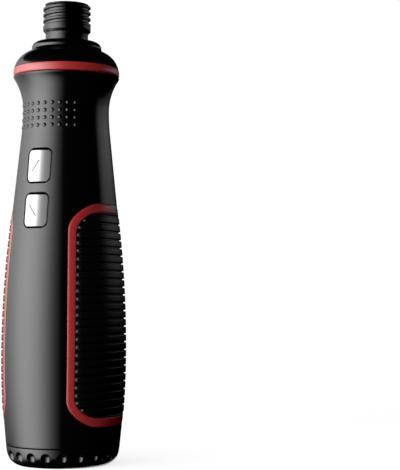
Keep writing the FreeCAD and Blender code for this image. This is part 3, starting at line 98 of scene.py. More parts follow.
class Wiring:
    """A node tree that is built node by node."""

    def __init__(self, tree: NodeTree) -> None:
        """Keep the tree that the nodes go into."""
        self.tree = tree

    def feed(self, target: NodeSocket, value: Feed) -> None:
        """Link an input to a socket or a node's first output, or set its value.

        Args:
            target: Input socket.
            value: Socket or node to link from, or a plain value.
        """
        if isinstance(value, Node):
            value = value.outputs[0]
        if isinstance(value, NodeSocket):
            self.tree.links.new(value, target)
        else:
            target.default_value = value

    def node(self, kind: str, *values: Feed, **named: Feed) -> Node:
        """Add a node and feed its inputs.

        Args:
            kind: Type of the node.
            *values: What the first inputs get, in order.
            **named: What other inputs get, by name.

        Returns:
            The node.
        """
        node = self.tree.nodes.new(kind)
        for target, value in zip(node.inputs, values):
            self.feed(target, value)
        for key, value in named.items():
            self.feed(node.inputs[key], value)
        return node

    def math(self, operation: str, *values: Feed) -> NodeSocket:
        """Add a math node.

        Args:
            operation: Name of the operation.
            *values: Sockets or numbers.

        Returns:
            The result's socket.
        """
        node = self.node("ShaderNodeMath", *values)
        node.operation = operation
        return node.outputs["Value"]

    def product(self, *values: Feed) -> NodeSocket:
        """Multiply sockets and numbers with one another."""
        return reduce(lambda first, second: self.math("MULTIPLY", first, second), values)

    def curve(self, ramp: Ramp, place: NodeSocket) -> NodeSocket:
        """Add a curve that reads a ramp.

        Args:
            ramp: Places and heights from 0 to 1.
            place: Socket of the place on the ramp.

        Returns:
            The height's socket.
        """
        node = self.node("ShaderNodeFloatCurve", Value=place)
        points = node.mapping.curves[0].points
        for spot in ramp[1:-1]:
            points.new(*spot)
        points[0].location = ramp[0]
        points[-1].location = ramp[-1]
        node.mapping.update()
        return node.outputs["Value"]


def blank_tree(owner: Material | World) -> Wiring:
    """Empty the node tree of a material or a world.

    Args:
        owner: Material or world.

    Returns:
        The empty tree, ready to be built.
    """
    owner.use_nodes = True
    owner.node_tree.nodes.clear()
    return Wiring(owner.node_tree)


@dataclass(frozen=True)
class Finish:
    """Surface of one material.

    Attributes:
        color: Linear base colour.
        roughness: Roughness of the surface.
        metallic: 1 for bare metal.
        specular: Strength of the reflection on plastics.
        grain: Depth of the fine moulded or ground texture, in millimetres.
        grain_scale: Number of grains over a metre.
        stretch: Stretch of the grain along X, Y and Z.
        coat: Weight of a clear coat.
    """

    color: tuple[float, float, float]
    roughness: float
    metallic: float = 0.0
    specular: float = 0.5
    grain: float = 0.0
    grain_scale: float = 2500.0
    stretch: tuple[float, float, float] = (1.0, 1.0, 1.0)
    coat: float = 0.0

    def material(self, name: str) -> Material:
        """Build the node material.

        Args:
            name: Name of the material.

        Returns:
            The finished material.
        """
        material = bpy.data.materials.new(name)
        material.use_nodes = True
        wiring = Wiring(material.node_tree)
        shader = wiring.tree.nodes["Principled BSDF"].inputs
        shader["Base Color"].default_value = (*self.color, 1.0)
        shader["Roughness"].default_value = self.roughness
        shader["Metallic"].default_value = self.metallic
        shader["Specular IOR Level"].default_value = self.specular
        shader["Coat Weight"].default_value = self.coat
        if self.grain:
            place = wiring.node("ShaderNodeTexCoord").outputs["Object"]
            spread = wiring.node("ShaderNodeMapping", Vector=place, Scale=self.stretch)
            noise = wiring.node("ShaderNodeTexNoise", Vector=spread, Scale=self.grain_scale).outputs["Fac"]
            bump = wiring.node("ShaderNodeBump", Height=noise, Distance=self.grain * MM)
            wiring.feed(shader["Normal"], bump)
        return material


FINISHES = {
    "body_black": Finish((0.0012, 0.0012, 0.0013), 0.15, specular=1.0, grain=0.002),
    "trim_red": Finish((0.5, 0.026, 0.026), 0.38, specular=1.0, grain=0.002, coat=0.8),
    "grip_rubber": Finish((0.002, 0.002, 0.0021), 0.3, specular=1.0, grain=0.003),
    "button_chrome": Finish((0.42, 0.42, 0.425), 0.18, metallic=1.0, grain=0.001, stretch=(1.0, 1.0, 0.05)),
    "nose_black": Finish((0.08, 0.08, 0.082), 0.2, metallic=1.0, grain=0.001),
    "steel": Finish((0.5, 0.5, 0.52), 0.3, metallic=1.0, grain=0.002, stretch=(1.0, 1.0, 6.0)),
    "bronze": Finish((0.5, 0.31, 0.13), 0.35, metallic=1.0, grain=0.004),
    "copper": Finish((0.7, 0.3, 0.14), 0.3, metallic=1.0),
    "nickel": Finish((0.62, 0.58, 0.5), 0.25, metallic=1.0),
    "carbon": Finish((0.03, 0.03, 0.03), 0.6),
    "ferrite": Finish((0.06, 0.06, 0.065), 0.5),
    "nylon_grey": Finish((0.14, 0.14, 0.15), 0.45, grain=0.004),
    "nylon_white": Finish((0.6, 0.59, 0.55), 0.4),
    "cell_wrap": Finish((0.1, 0.2, 0.24), 0.35),
    "board_green": Finish((0.015, 0.12, 0.05), 0.35),
    "switch_black": Finish((0.02, 0.02, 0.02), 0.4),
    "button_mark": Finish((0.2, 0.2, 0.205), 0.4, metallic=0.8),
}


class Palette:
    """Materials of the tool, made once and handed out by slot name."""

    def __init__(self) -> None:
        """Make the material of every finish."""
        self.made = {name: finish.material(name) for name, finish in FINISHES.items()}

    def paint(self, obj: Object, name: str) -> None:
        """Give an object one finish on all its faces."""
        obj.data.materials.clear()
        obj.data.materials.append(self.made[name])

    def paint_frame(self) -> None:
        """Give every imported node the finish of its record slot."""
        for part in frame["record"]["subparts"]:
            self.paint(frame["nodes"][part["node"]], part["material_slot"])


@dataclass
class Outline:
    """Side of the turned body as tangent arcs, in millimetres."""

    base_level: float = 6.7
    base_radius: float = 18.9
    belly_level: float = 37.0
    belly_radius: float = 20.5
    neck_level: float = 118.0
    neck_radius: float = 14.4025
    belly_blend: float = 19.0
    neck_blend: float = 3.9
    flare_level: float = 128.05
    flare_radius: float = 17.2025
    lip_radius: float = 17.7525
    top_level: float = 129.15

    def __post_init__(self) -> None:
        """Work out the arcs and the slope of the taper between them."""
        drop = self.belly_radius - self.neck_radius
        rise = self.neck_level - self.neck_blend - self.belly_level - self.belly_blend
        length = math.hypot(drop, rise)
        half_tangent = (length - rise) / drop
        self.cos = rise / length
        self.sin = drop / length
        self.upper = self.belly_blend / half_tangent
        self.neck = self.neck_blend / half_tangent
        self.lower = self.sweep(self.belly_level - self.base_level, self.belly_radius - self.base_radius)
        self.flare = self.sweep(self.flare_level - self.neck_level, self.flare_radius - self.neck_radius)

    @staticmethod
    def sweep(rise: float, step: float) -> float:
        """Radius of an arc that leaves upright and moves sideways by a step over a rise."""
        return (rise * rise + step * step) / (2 * step)

    def radius(self, level: float) -> float:
        """Radius of the body at a level.

        Args:
            level: Height over the base.

        Returns:
            Radius at that height.
        """
        rise = level - self.belly_level
        if rise <= 0:
            return self.belly_radius - self.lower + math.sqrt(self.lower ** 2 - rise ** 2)
        if rise <= self.upper * self.sin:
            return self.belly_radius - self.upper + math.sqrt(self.upper ** 2 - rise ** 2)
        drop = self.neck_level - level
        if drop >= self.neck * self.sin:
            return self.belly_radius - self.upper + (self.upper - self.sin * rise) / self.cos
        if drop >= 0:
            return self.neck_radius + self.neck - math.sqrt(self.neck ** 2 - drop ** 2)
        return min(self.neck_radius + self.flare - math.sqrt(self.flare ** 2 - drop ** 2), self.lip_radius)


OUTLINE = Outline()


# Mesh tools

def mesh_object(name: str, points: np.ndarray, faces: Sequence[Sequence[int]]) -> Object:
    """Make a smooth-shaded mesh object from points in millimetres.

    Args:
        name: Name of the object.
        points: Array of point rows.
        faces: Point indices of each face.

    Returns:
        The object, linked to the scene.
    """
    mesh = bpy.data.meshes.new(name)
    mesh.from_pydata((points * MM).tolist(), [], [list(face) for face in faces])
    mesh.validate()
    obj = bpy.data.objects.new(name, mesh)
    bpy.context.scene.collection.objects.link(obj)
    soften(obj)
    return obj


def soften(obj: Object) -> None:
    """Shade a mesh smooth and keep its sharp corners."""
    obj.data.shade_smooth()
    obj.data.set_sharp_from_angle(angle=SMOOTH_ANGLE)


def bake(obj: Object) -> None:
    """Turn an object's modifiers into plain mesh.

    Args:
        obj: Object with modifiers.
    """
    graph = bpy.context.evaluated_depsgraph_get()
    mesh = bpy.data.meshes.new_from_object(obj.evaluated_get(graph))
    obj.modifiers.clear()
    old = obj.data
    obj.data = mesh
    bpy.data.meshes.remove(old)
    soften(obj)


def carve(obj: Object, *cutters: Object) -> None:
    """Cut shapes out of a mesh and remove the cutters.

    Args:
        obj: Mesh to cut.
        *cutters: Closed meshes to take away.
    """
    for cutter in cutters:
        boolean = obj.modifiers.new("carve", "BOOLEAN")
        boolean.operation = "DIFFERENCE"
        boolean.solver = "EXACT"
        boolean.object = cutter
    bake(obj)
    for cutter in cutters:
        bpy.data.objects.remove(cutter)


def arc(centre: Point, radius: float, start: float, end: float, steps: int) -> list[Point]:
    """Points on an arc from one angle to another in degrees, both ends included."""
    angles = np.radians(np.linspace(start, end, steps + 1))
    return [(centre[0] + radius * math.cos(a), centre[1] + radius * math.sin(a)) for a in angles]


def circle(radius: float, angles: np.ndarray, level: float) -> np.ndarray:
    """Points round the Z axis at angles in degrees from the front."""
    turns = np.radians(angles + Facing.FRONT.value)
    return np.stack([radius * np.cos(turns), radius * np.sin(turns), np.full_like(turns, level)], axis=-1)


def loop_faces(loops: int, count: int, joined: bool) -> list[Sequence[int]]:
    """Quads between closed loops of points that follow one another.

    Args:
        loops: Number of loops.
        count: Number of points in each loop.
        joined: Whether the last loop meets the first.

    Returns:
        Point indices of each quad.
    """
    faces: list[Sequence[int]] = []
    for loop in range(loops if joined else loops - 1):
        near = loop * count
        far = (loop + 1) % loops * count
        for point in range(count):
            after = (point + 1) % count
            faces.append((near + point, far + point, far + after, near + after))
    return faces


def turned(
    name: str, section: Sequence[Point], segments: int, start: float = 0.0, sweep: float = FULL_TURN
) -> Object:
    """Turn a closed section round the Z axis.

    Args:
        name: Name of the object.
        section: Radius and level of each corner, outer side upwards.
        segments: Number of steps round the axis.
        start: First angle in degrees.
        sweep: Turned angle in degrees.

    Returns:
        The turned solid.
    """
    full = sweep >= FULL_TURN
    columns = segments if full else segments + 1
    angles = np.radians(start + sweep * np.arange(columns) / segments)
    radii, levels = np.array(section).T
    count = len(section)
    points = np.stack([
        np.outer(np.cos(angles), radii),
        np.outer(np.sin(angles), radii),
        np.tile(levels, (columns, 1)),
    ], axis=-1)
    faces = loop_faces(columns, count, full)
    if not full:
        faces += [range(count), range((columns - 1) * count, columns * count)[::-1]]
    return mesh_object(name, points.reshape(-1, 3), faces)


def on_skin(across: np.ndarray, level: np.ndarray, height: np.ndarray, facing: Facing) -> np.ndarray:
    """Lay flat coordinates onto the turned body.

    Args:
        across: Sideways place in the view of that side.
        level: Height over the base.
        height: Distance outside the body's skin.
        facing: Side of the tool.

    Returns:
        Points with X, Y and Z in the last axis.
    """
    radius = np.vectorize(OUTLINE.radius)(level) + height
    out = np.sqrt(np.maximum(radius ** 2 - across ** 2, 0.0))
    turn = math.radians(facing.value)
    x = out * math.cos(turn) - across * math.sin(turn)
    y = out * math.sin(turn) + across * math.cos(turn)
    return np.stack([x, y, level], axis=-1)


def skin_block(
    name: str,
    levels: np.ndarray,
    columns: np.ndarray,
    half_width: Callable[[float], float],
    top: Callable[[float, float], float],
    floor: float,
    facing: Facing,
    aside: float | np.ndarray = 0.0,
) -> Object:
    """Build a solid patch on the body from a grid.

    Args:
        name: Name of the object.
        levels: Heights of the grid rows.
        columns: Places of the grid columns from -1 to 1.
        half_width: Half width of the patch at a level.
        top: Height outside the skin at a level and a sideways place.
        floor: Height of the underside outside the skin.
        facing: Side of the tool.
        aside: Sideways place of the patch's middle, one for all rows or one for each.

    Returns:
        The closed patch.
    """
    widths = np.array([half_width(level) for level in levels])
    across = np.outer(widths, columns) + np.reshape(aside, (-1, 1))
    grid = np.repeat(levels[:, None], len(columns), axis=1)
    height = np.vectorize(top)(grid, across)
    upper = on_skin(across, grid, height, facing)
    lower = on_skin(across, grid, np.full_like(grid, floor), facing)
    points = np.concatenate([upper, lower[::-1]]).swapaxes(0, 1).reshape(-1, 3)
    rows, wide = grid.shape
    ring = 2 * rows
    last = (wide - 1) * ring
    faces = loop_faces(wide, ring, False)
    for row in range(rows - 1):
        wall = (row, row + 1, ring - 2 - row, ring - 1 - row)
        faces += [wall, [last + point for point in wall[::-1]]]
    return mesh_object(name, points, faces)


def dense_ends(count: int) -> np.ndarray:
    """Places from 0 to 1 that crowd towards both ends."""
    return (1 - np.cos(np.pi * np.arange(count) / (count - 1))) / 2


def dense_sides(count: int) -> np.ndarray:
    """Places from -1 to 1 that crowd towards both ends."""
    return 2 * dense_ends(count) - 1


def corner_cut(room: float, corner: float) -> float:
    """Depth that a round corner takes from a straight side.

    Args:
        room: Distance from the end of the side.
        corner: Radius of the corner.

    Returns:
        The depth, which is 0 past the corner.
    """
    if room >= corner:
        return 0.0
    return corner - math.sqrt(max(corner ** 2 - (corner - max(room, 0.0)) ** 2, 0.0))


def settle(obj: Object, body: str, slot: str, *nodes: str) -> None:
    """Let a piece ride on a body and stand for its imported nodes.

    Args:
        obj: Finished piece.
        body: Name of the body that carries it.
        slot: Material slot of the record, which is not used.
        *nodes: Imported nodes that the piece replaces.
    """
    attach(obj, body)
    if nodes:
        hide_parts(*nodes)
    log.info("%s rides on %s", obj.name, body)


# Geometry node groups

class NodeGroup(Wiring):
    """A geometry node group with named inputs that is run on a mesh and baked."""

    def __init__(self, name: str, **kinds: str) -> None:
        """Make the group with its sockets.

        Args:
            name: Name of the group.
            **kinds: Socket types of the inputs by name.
        """
        super().__init__(bpy.data.node_groups.new(name, "GeometryNodeTree"))
        sockets = self.tree.interface
        sockets.new_socket("Geometry", in_out="OUTPUT", socket_type=GEOMETRY)
        self.inputs = {
            key: sockets.new_socket(key, in_out="INPUT", socket_type=kind)
            for key, kind in {"Geometry": GEOMETRY, **kinds}.items()
        }
        self.entry = self.node("NodeGroupInput").outputs
        self.exit = self.node("NodeGroupOutput").inputs

    def attribute(self, name: str) -> NodeSocket:
        """Read a number that is stored on the points."""
        node = self.node("GeometryNodeInputNamedAttribute", Name=name)
        return node.outputs["Attribute"]

    def capped(self, value: NodeSocket) -> NodeSocket:
        """Keep a number between 0 and 1."""
        return self.math("MINIMUM", self.math("MAXIMUM", value, 0.0), 1.0)

    def place(self) -> tuple[NodeSocket, ...]:
        """Split the points' places into X, Y and Z in metres."""
        spot = self.node("GeometryNodeInputPosition")
        return tuple(self.node("ShaderNodeSeparateXYZ", Vector=spot).outputs)

    def push_out(self, move: NodeSocket) -> Node:
        """Move the points away from the Z axis.

        Args:
            move: Socket of the distance in metres.

        Returns:
            The node that gives the moved geometry.
        """
        x, y, _ = self.place()
        radius = self.math("SQRT", self.math("ADD", self.product(x, x), self.product(y, y)))
        share = self.math("DIVIDE", move, self.math("MAXIMUM", radius, MM))
        shift = self.node("ShaderNodeCombineXYZ", self.product(x, share), self.product(y, share))
        return self.node("GeometryNodeSetPosition", Geometry=self.entry["Geometry"], Offset=shift)

    def close(self, geometry: Node) -> None:
        """End the group with realized and painted geometry.

        Args:
            geometry: Node that gives the geometry.
        """
        solid = self.node("GeometryNodeRealizeInstances", Geometry=geometry)
        paint = self.node("GeometryNodeSetMaterial", Geometry=solid, Material=self.entry["Material"])
        self.feed(self.exit["Geometry"], paint)

    def run(self, obj: Object, **values: float | Material) -> Object:
        """Run the group on a mesh and bake the result.

        Args:
            obj: Mesh object.
            **values: Input values by name.

        Returns:
            The plain mesh object.
        """
        modifier = obj.modifiers.new("nodes", "NODES")
        modifier.node_group = self.tree
        for key, value in values.items():
            modifier[self.inputs[key].identifier] = value
        bake(obj)
        return obj


def ball_group() -> NodeGroup:
    """Group that sets a ball on every point.

    Returns:
        The group.
    """
    group = NodeGroup("balls_on_points", Radius=NUMBER, Material=PAINT)
    radius = group.entry["Radius"]
    ball = group.node("GeometryNodeMeshUVSphere", Segments=BALL_SEGMENTS, Rings=BALL_RINGS, Radius=radius)
    group.close(group.node("GeometryNodeInstanceOnPoints", Points=group.entry["Geometry"], Instance=ball))
    return group


def rib_group() -> NodeGroup:
    """Group that raises ribs with round sloped ends from a pad's smooth face.

    Returns:
        The group.
    """
    sizes = ("Pitch", "Start", "Crown", "Flatness", "Height", "End", "Round")
    group = NodeGroup("ribs_on_pad", **dict.fromkeys(sizes, NUMBER), Material=PAINT)
    level = group.math("SUBTRACT", group.place()[2], group.entry["Start"])
    phase = group.math("FRACT", group.math("DIVIDE", level, group.entry["Pitch"]))
    away = group.math("ABSOLUTE", group.math("SUBTRACT", phase, 0.5))
    away = group.math("MINIMUM", group.math("DIVIDE", away, group.entry["Crown"]), 1.0)
    drop = group.math("POWER", away, group.entry["Flatness"])
    rib = group.math("SQRT", group.math("SUBTRACT", 1.0, drop))
    lag = group.product(away, away, group.entry["Round"])
    room = group.math("SUBTRACT", group.attribute("room"), lag)
    ending = group.capped(group.math("DIVIDE", room, group.entry["End"]))
    group.close(group.push_out(group.product(rib, ending, group.entry["Height"])))
    return group


def thread_group() -> NodeGroup:
    """Group that presses a right-hand thread into a turned nose.

    Returns:
        The group.
    """
    sizes = ("Pitch", "Depth", "Crest", "Flank")
    group = NodeGroup("thread_on_nose", **dict.fromkeys(sizes, NUMBER), Material=PAINT)
    x, y, z = group.place()
    turn = group.math("DIVIDE", group.math("ARCTAN2", y, x), 2 * math.pi)
    along = group.math("SUBTRACT", group.math("DIVIDE", z, group.entry["Pitch"]), turn)
    away = group.math("ABSOLUTE", group.math("SUBTRACT", group.math("FRACT", along), 0.5))
    past = group.math("SUBTRACT", away, group.entry["Crest"])
    share = group.capped(group.math("DIVIDE", past, group.entry["Flank"]))
    soft = group.math("SUBTRACT", 3.0, group.product(share, 2.0))
    depth = group.product(group.entry["Depth"], group.attribute("fade"), -1.0)
    group.close(group.push_out(group.product(share, share, soft, depth)))
    return group


def store(obj: Object, name: str, values: Sequence[float]) -> None:
    """Store one number per point on a mesh."""
    numbers = obj.data.attributes.new(name, "FLOAT", "POINT").data
    numbers.foreach_set("value", np.array(values, dtype=np.float32))


# The tool's pieces

@dataclass
class Grip:
    """One ribbed pad with its red trim.

    Attributes:
        facing: Side of the tool.
        palette: Materials.
        ribs: Node group that raises the ribs.
        trim_half: Half of the trim's section, as shares of its width and heights over the skin.
        rib_half: Grid rows over half a rib, as shares of the pitch.
    """

    facing: Facing
    palette: Palette
    ribs: NodeGroup
    foot: float = 13.4
    top: float = 86.0
    wide: float = 15.7
    narrow: float = 13.6
    bow: float = 426.0
    corner: float = 9.0
    trim_side: float = 1.43
    trim_end: float = 3.0
    trim_gap: float = 0.07
    trim_half: tuple[Point, ...] = (
        (0.0, -0.12), (0.02, -0.02), (0.07, 0.06), (0.16, 0.1), (0.33, 0.12), (0.5, 0.125),
    )
    pad_gap: float = 0.12
    depth: float = 1.28
    bed_gap: float = 0.05
    rib_pitch: float = 2.6
    rib_groove: float = 0.42
    rib_flatness: float = 16.0
    rib_half: tuple[float, ...] = (
        0.0, 0.055, 0.08, 0.083, 0.088, 0.096, 0.108, 0.125, 0.155, 0.2, 0.32, 0.5,
    )
    rib_proud: float = 0.3
    rib_floor: float = 0.38
    rib_end: float = 0.6
    rib_round: float = 0.9
    cutter_rows: int = 90
    cutter_columns: int = 24
    side_points: int = 140
    end_points: int = 26
    pad_rows: int = 60
    pad_columns: int = 44
    pad_digits: int = 3

    @property
    def bed(self) -> float:
        """Height of the pad's and trim's underside over the skin."""
        return self.bed_gap - self.depth

    def half_width(self, level: float, side: float, end: float) -> float:
        """Half width of the outline at a level.

        Args:
            level: Height over the base.
            side: Inset of the upright sides.
            end: Inset of the ends.

        Returns:
            Half width in side view.
        """
        foot = self.foot + end
        top = self.top - end
        share = min(max((level - foot) / (top - foot), 0.0), 1.0)
        swell = (top - foot) ** 2 / (2 * self.bow) * share * (1 - share)
        half = self.wide + (self.narrow - self.wide) * share + swell - side
        return half - corner_cut(min(level - foot, top - level), self.corner - (side + end) / 2)

    def levels(self, end: float, count: int) -> np.ndarray:
        """Heights of grid rows that crowd towards the ends, which lie inset."""
        return self.foot + end + (self.top - self.foot - 2 * end) * dense_ends(count)

    def cutter(self) -> Object:
        """Make the solid that opens the pocket in the housing."""
        return skin_block(
            "pocket",
            self.levels(-self.trim_gap, self.cutter_rows),
            np.linspace(-1, 1, self.cutter_columns),
            lambda level: self.half_width(level, -self.trim_gap, -self.trim_gap),
            lambda level, across: CUT_HEIGHT,
            -self.depth,
            self.facing,
        )

    def loop(self, side: float, end: float) -> np.ndarray:
        """Closed outline with rows of sideways place and level.

        Args:
            side: Inset of the upright sides.
            end: Inset of the ends.

        Returns:
            Points of the loop.
        """
        levels = self.levels(end, self.side_points)
        widths = np.array([self.half_width(level, side, end) for level in levels])
        ends = np.linspace(1, -1, self.end_points)[1:-1]
        right = np.stack([widths, levels], axis=-1)
        over = np.stack([ends * widths[-1], np.full_like(ends, levels[-1])], axis=-1)
        left = np.stack([-widths[::-1], levels[::-1]], axis=-1)
        under = np.stack([-ends * widths[0], np.full_like(ends, levels[0])], axis=-1)
        return np.concatenate([right, over, left, under])

    def trim(self) -> Object:
        """Make the red trim as a rounded band round the pad.

        Returns:
            The closed band.
        """
        outer = self.loop(0.0, 0.0)
        inner = self.loop(self.trim_side, self.trim_end)
        half = [(0.0, self.bed), *self.trim_half]
        section = half + [(1.0 - share, height) for share, height in half[-2::-1]]
        rows = [
            on_skin(*(outer + (inner - outer) * share).T, np.full(len(outer), height), self.facing)
            for share, height in section
        ]
        points = np.stack(rows, axis=1).reshape(-1, 3)
        faces = loop_faces(len(outer), len(section), True)
        return mesh_object(f"trim_{self.facing.name.lower()}", points, faces)

    def pad(self) -> Object:
        """Make the ribbed rubber pad.

        Returns:
            The closed pad.
        """
        end = self.trim_end + self.pad_gap
        side = self.trim_side + self.pad_gap
        foot = self.foot + end
        top = self.top - end
        count = int((top - foot) / self.rib_pitch)
        start = (foot + top - self.rib_pitch * count) / 2
        shares = [*self.rib_half, *(1 - share for share in self.rib_half[-2:0:-1])]
        ribs = start + self.rib_pitch * np.add.outer(np.arange(-1, count + 1), shares).ravel()
        ribs = ribs[(ribs > foot) & (ribs < top)]
        levels = np.concatenate([self.levels(end, self.pad_rows), ribs])
        levels = np.unique(np.round(levels, self.pad_digits))
        columns = dense_sides(self.pad_columns)
        pad = skin_block(
            f"pad_{self.facing.name.lower()}",
            levels,
            columns,
            lambda level: self.half_width(level, side, end),
            lambda level, across: -self.rib_floor,
            self.bed,
            self.facing,
        )
        widths = np.array([self.half_width(level, side, end) for level in levels])
        room = np.outer(widths, 1 - np.abs(columns)) * MM
        store(pad, "room", np.concatenate([room, np.zeros_like(room)]).T.ravel())
        return self.ribs.run(
            pad,
            Pitch=self.rib_pitch * MM,
            Start=start * MM,
            Crown=(1 - self.rib_groove / self.rib_pitch) / 2,
            Flatness=self.rib_flatness,
            Height=(self.rib_floor + self.rib_proud) * MM,
            End=self.rib_end * MM,
            Round=self.rib_round * MM,
            Material=self.palette.made["grip_rubber"],
        )

    def build(self) -> None:
        """Make the pad and trim and put them in place."""
        side = self.facing.name.lower()
        trim = self.trim()
        self.palette.paint(trim, "trim_red")
        settle(trim, "housing", "trim_red", f"grip_trim_{side}")
        pad = self.pad()
        settle(pad, "housing", "grip_rubber", f"grip_pad_{side}")


@dataclass
class Button:
    """One chrome push button with its slanted mark.

    Attributes:
        name: Name of the body and node.
        level: Height of the button's middle.
        slant: Way that the mark leans.
        palette: Materials.
    """

    name: str
    level: float
    slant: Slant
    palette: Palette
    half_wide: float = 4.37
    half_tall: float = 5.5
    aside: float = 0.18
    corner: float = 2.0
    slot: float = 0.44
    edge: float = 0.55
    drop: float = 0.5
    proud: float = 0.3
    fold: float = 0.8
    fold_slope: float = 0.4
    fold_softness: float = 1.1
    mark_tall: float = 3.6
    mark_half: float = 0.32
    mark_lean: float = 0.7
    mark_middle: float = -0.9
    mark_proud: float = 0.015
    mark_depth: float = 0.3
    mark_rows: int = 9
    mark_columns: int = 3
    key_floor: float = -2.2
    key_columns: int = 48
    opening_floor: float = -4.0
    opening_columns: int = 30
    row_count: int = 48

    def half_width(self, level: float, grow: float) -> float:
        """Half width of the rounded oblong at a level, for an outline that has grown."""
        room = self.half_tall + grow - abs(level - self.level)
        return self.half_wide + grow - corner_cut(room, self.corner + grow)

    def rows(self, grow: float) -> np.ndarray:
        """Heights of the grid rows over an outline that has grown."""
        half = self.half_tall + grow
        return self.level - half + 2 * half * dense_ends(self.row_count)

    def opening(self) -> Object:
        """Make the cutter for the opening in the shell."""
        return skin_block(
            "opening",
            self.rows(self.slot),
            dense_sides(self.opening_columns),
            lambda level: self.half_width(level, self.slot),
            lambda level, across: CUT_HEIGHT,
            self.opening_floor,
            Facing.FRONT,
            self.aside,
        )

    def face(self, level: float, across: float) -> float:
        """Height of the button's face, rounded down at its edge.

        Args:
            level: Height over the base.
            across: Sideways place.

        Returns:
            Height outside the skin.
        """
        beside = self.half_width(level, 0.0) - abs(across - self.aside)
        room = min(beside, self.half_tall - abs(level - self.level))
        return self.folded(across) - self.drop / self.edge * corner_cut(room, self.edge)

    def folded(self, across: float) -> float:
        """Height of the face, whose right side folds back into a flat facet.

        Args:
            across: Sideways place.

        Returns:
            Height outside the skin.
        """
        past = across - self.aside - self.fold
        bend = max(past, 0.0) ** 2 / (2 * OUTLINE.radius(self.level))
        return self.proud - self.fold_slope * (past + math.hypot(past, self.fold_softness)) / 2 + bend

    def build(self) -> None:
        """Make the button and its mark and put them in place."""
        key = skin_block(
            f"{self.name}_key",
            self.rows(0.0),
            dense_sides(self.key_columns),
            lambda level: self.half_width(level, 0.0),
            self.face,
            self.key_floor,
            Facing.FRONT,
            self.aside,
        )
        self.palette.paint(key, "button_chrome")
        settle(key, self.name, "button_chrome", self.name)
        self.mark()

    def mark(self) -> None:
        """Lay a thin slanted stroke on the face."""
        rows = np.linspace(-0.5, 0.5, self.mark_rows) * self.mark_tall
        stroke = skin_block(
            f"{self.name}_mark",
            self.level + rows,
            np.linspace(-1, 1, self.mark_columns),
            lambda level: self.mark_half,
            lambda level, across: self.folded(across) + self.mark_proud,
            -self.mark_depth,
            Facing.FRONT,
            self.mark_middle + rows * self.mark_lean * self.slant.value,
        )
        self.palette.paint(stroke, "button_mark")
        settle(stroke, self.name, "button_chrome")


@dataclass
class Housing:
    """Front and rear shells with their pockets, openings and pips.

    Attributes:
        grips: The two grips.
        buttons: The two buttons.
        palette: Materials.
    """

    grips: Sequence[Grip]
    buttons: Sequence[Button]
    palette: Palette
    wall: float = 2.2
    seam: float = 0.12
    spigot_radius: float = 15.0025
    spigot_inner: float = 13.2025
    spigot_top: float = 134.75
    tube_seat: float = 10.55
    inner_top: float = 123.5
    pip_columns: int = 10
    pip_step: float = 10.4
    pip_levels: tuple[float, ...] = (111.75, 114.22, 116.69, 119.16)
    pip_ball: float = 0.875
    pip_height: float = 0.34
    edge: float = 0.12
    edge_end: float = -20.0
    edge_steps: int = 4
    side_points: int = 150
    neck_points: int = 32
    inner_points: int = 60
    segments: int = 120

    def section(self) -> list[Point]:
        """Section of the wall.

        Returns:
            Closed section with the outer side first.
        """
        levels = np.concatenate([
            np.linspace(OUTLINE.base_level + self.edge, OUTLINE.neck_level, self.side_points),
            np.linspace(OUTLINE.neck_level, OUTLINE.top_level - self.edge, self.neck_points)[1:],
        ])
        low = (OUTLINE.base_radius - self.edge, OUTLINE.base_level + self.edge)
        high = (OUTLINE.lip_radius - self.edge, OUTLINE.top_level - self.edge)
        floor = OUTLINE.base_level + self.wall
        inside = np.linspace(self.inner_top, floor, self.inner_points)
        return [
            *arc(low, self.edge, -90, self.edge_end, self.edge_steps),
            *((OUTLINE.radius(level), level) for level in levels),
            *arc(high, self.edge, 0, 90, self.edge_steps),
            (self.spigot_radius, OUTLINE.top_level),
            (self.spigot_radius, self.spigot_top),
            (self.spigot_inner, self.spigot_top),
            *((OUTLINE.radius(level) - self.wall, level) for level in inside),
            (self.tube_seat, floor),
            (self.tube_seat, OUTLINE.base_level),
        ]

    def shell(self, half: Half) -> Object:
        """Make one half of the housing.

        Args:
            half: Which half.

        Returns:
            The cut shell.
        """
        name = f"{half.name.lower()}_case"
        sweep = FULL_TURN / len(Half) - 2 * self.seam
        shell = turned(name, self.section(), self.segments, half.value + self.seam, sweep)
        cutters = [grip.cutter() for grip in self.grips]
        if half is Half.FRONT:
            cutters += [button.opening() for button in self.buttons]
        carve(shell, *cutters)
        self.palette.paint(shell, "body_black")
        return shell

    def pips(self, balls: NodeGroup) -> Object:
        """Set the round pips on the neck.

        Args:
            balls: Node group that sets balls on points.

        Returns:
            The pips as one mesh.
        """
        angles = (np.arange(self.pip_columns) - (self.pip_columns - 1) / 2) * self.pip_step
        rows = [
            circle(OUTLINE.radius(level) + self.pip_height - self.pip_ball, angles, level)
            for level in self.pip_levels
        ]
        spots = mesh_object("neck_pips", np.concatenate(rows), [])
        return balls.run(spots, Radius=self.pip_ball * MM, Material=self.palette.made["body_black"])

    def build(self, balls: NodeGroup) -> None:
        """Make both shells and the pips, which are balls on points, and put them in place."""
        for half in Half:
            settle(self.shell(half), "housing", "body_black", f"{half.name.lower()}_shell")
        settle(self.pips(balls), "housing", "body_black")


